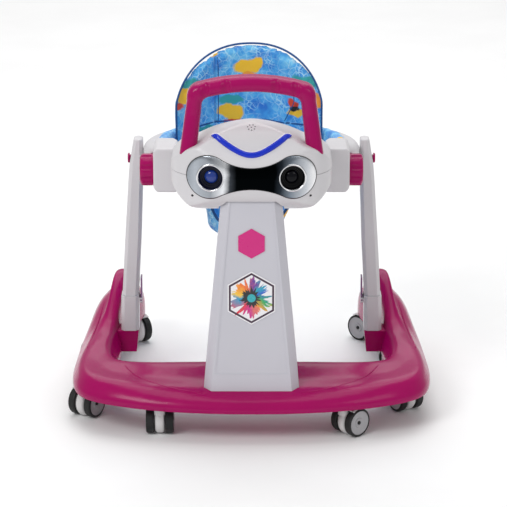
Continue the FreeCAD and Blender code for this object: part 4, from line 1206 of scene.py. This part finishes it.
def build_castor(name):
    matrix = castor_matrix(name)
    hub = matrix @ Matrix.Translation((TRAIL * MM, 0, WHEEL_R * MM))

    # housing between the wheels with a short fender over them
    web = disc_along_y("web", [(0, -8.5), (20, -8.5), (23.5, -7), (25.2, -4), (25.2, 4), (23.5, 7),
                               (20, 8.5), (0, 8.5)], hub)
    fender = fender_form("fender", hub)
    collar = lathe("collar", [(r * MM, h * MM) for r, h in (
        (0, 40), (9.5, 40), (9.5, 52.5), (8.5, 55.4), (0, 55.4))], matrix, 40)
    stem = lathe("stem", [(r * MM, h * MM) for r, h in ((0, 54), (4, 54), (4, 73), (0, 74))], matrix, 24)
    housing = join("castor_" + name + "_housing", [web, fender, collar, stem])
    finish_piece(housing, "castor_" + name, "castor_white",
                 ["castor_" + name + "_fork"], 40)

    # dished hub faces with a dark axle cap
    faces = []
    caps = []
    for side in (1, -1):
        flip = hub @ (Matrix.Identity(4) if side > 0 else Matrix.Rotation(math.pi, 4, "Z"))
        faces.append(disc_along_y("hub_face", [
            (0, 21.0), (4.0, 21.4), (6.5, 22.9), (8.0, 23.0), (9.0, 21.2), (16.5, 20.6), (18.2, 21.8),
            (20.6, 23.4), (21.6, 23.2), (21.6, 11.0), (0, 11.0), (0, 21.0)], flip, 56))
        caps.append(disc_along_y("axle_cap", [
            (0, 24.0), (2.2, 23.9), (3.2, 23.0), (3.4, 20.0), (0, 20.0), (0, 24.0)], flip, 24))
    rims = join("castor_" + name + "_hubs", faces)
    finish_piece(rims, "castor_" + name + "_wheels", "castor_grey",
                 ["castor_" + name + "_rims"], 40)
    axle = join("castor_" + name + "_axle_caps", caps)
    finish_piece(axle, "castor_" + name + "_wheels", "black_plastic")


def fender_form(name, hub):
    """Arched cover over the tops of both wheels."""
    first, last = FENDER_ANGLES
    form = bmesh.new()
    rows = []
    section = [(26.4, -23.6), (27.9, -22.6), (28.4, -18), (28.4, 18), (27.9, 22.6), (26.4, 23.6),
               (26.4, 18), (26.4, -18)]
    for k in range(15):
        angle = math.radians(first + (last - first) * k / 14)
        rows.append([form.verts.new((r * MM * math.cos(angle), y * MM, r * MM * math.sin(angle)))
                     for r, y in section])
    bridge(form, rows, capped=True)
    fender = from_bmesh(name, form)
    fender.data.transform(hub)
    return fender


# ---------------------------------------------------------------- base and trims
def build_base_creases():
    """Raised styling lines: round the front of each arm, and along the outside of each fin."""
    skin = surface_of(NODES["base_shell"])
    front = [(238, -118), (230, -146), (216, -178), (197, -208), (172, -232), (143, -250),
             (112, -261), (86, -266)]
    fin = [(262, 190), (268, 150), (276, 105), (284, 50), (292, -10), (297, -70)]
    for label, line in (("front", front), ("fin", fin)):
        for side, tag in ((1, "right"), (-1, "left")):
            path = []
            for x, y in line:
                hit = skin.ray_cast(Vector((side * x * MM, y * MM, 0.4)), Vector((0, 0, -1)))[0]
                path.append(hit - Vector((0, 0, 0.6 * MM)))
            bead = tube("base_crease_" + label + "_" + tag, path, 1.7 * MM, sides=2)
            finish_piece(bead, "root", "magenta_plastic")


EDGE_ROUND = 1.2 * MM


def bevel_node(name, width):
    """Small rounds on the sharp edges of a moulded part."""
    weld = NODES[name].modifiers.new("weld", "WELD")
    weld.merge_threshold = 1e-6
    bevel = NODES[name].modifiers.new("edge_round", "BEVEL")
    bevel.width = width
    bevel.segments = 2
    bevel.limit_method = "ANGLE"
    bevel.angle_limit = math.radians(35)
    bevel.harden_normals = True


add_camera()
add_studio()
for castor in CASTORS:
    build_castor(castor)
build_base_creases()
for node_name in ("column_front", "leg_left", "leg_right", "leg_boot_left", "leg_boot_right"):
    bevel_node(node_name, EDGE_ROUND)
SKIN = build_console()
build_mask(SKIN)
build_eyes(SKIN)
build_light_bar(SKIN)
build_handle()
build_backrest()
build_seat()
build_tray()
build_seat_cover()
bpy.context.scene.view_settings.view_transform = "Standard"
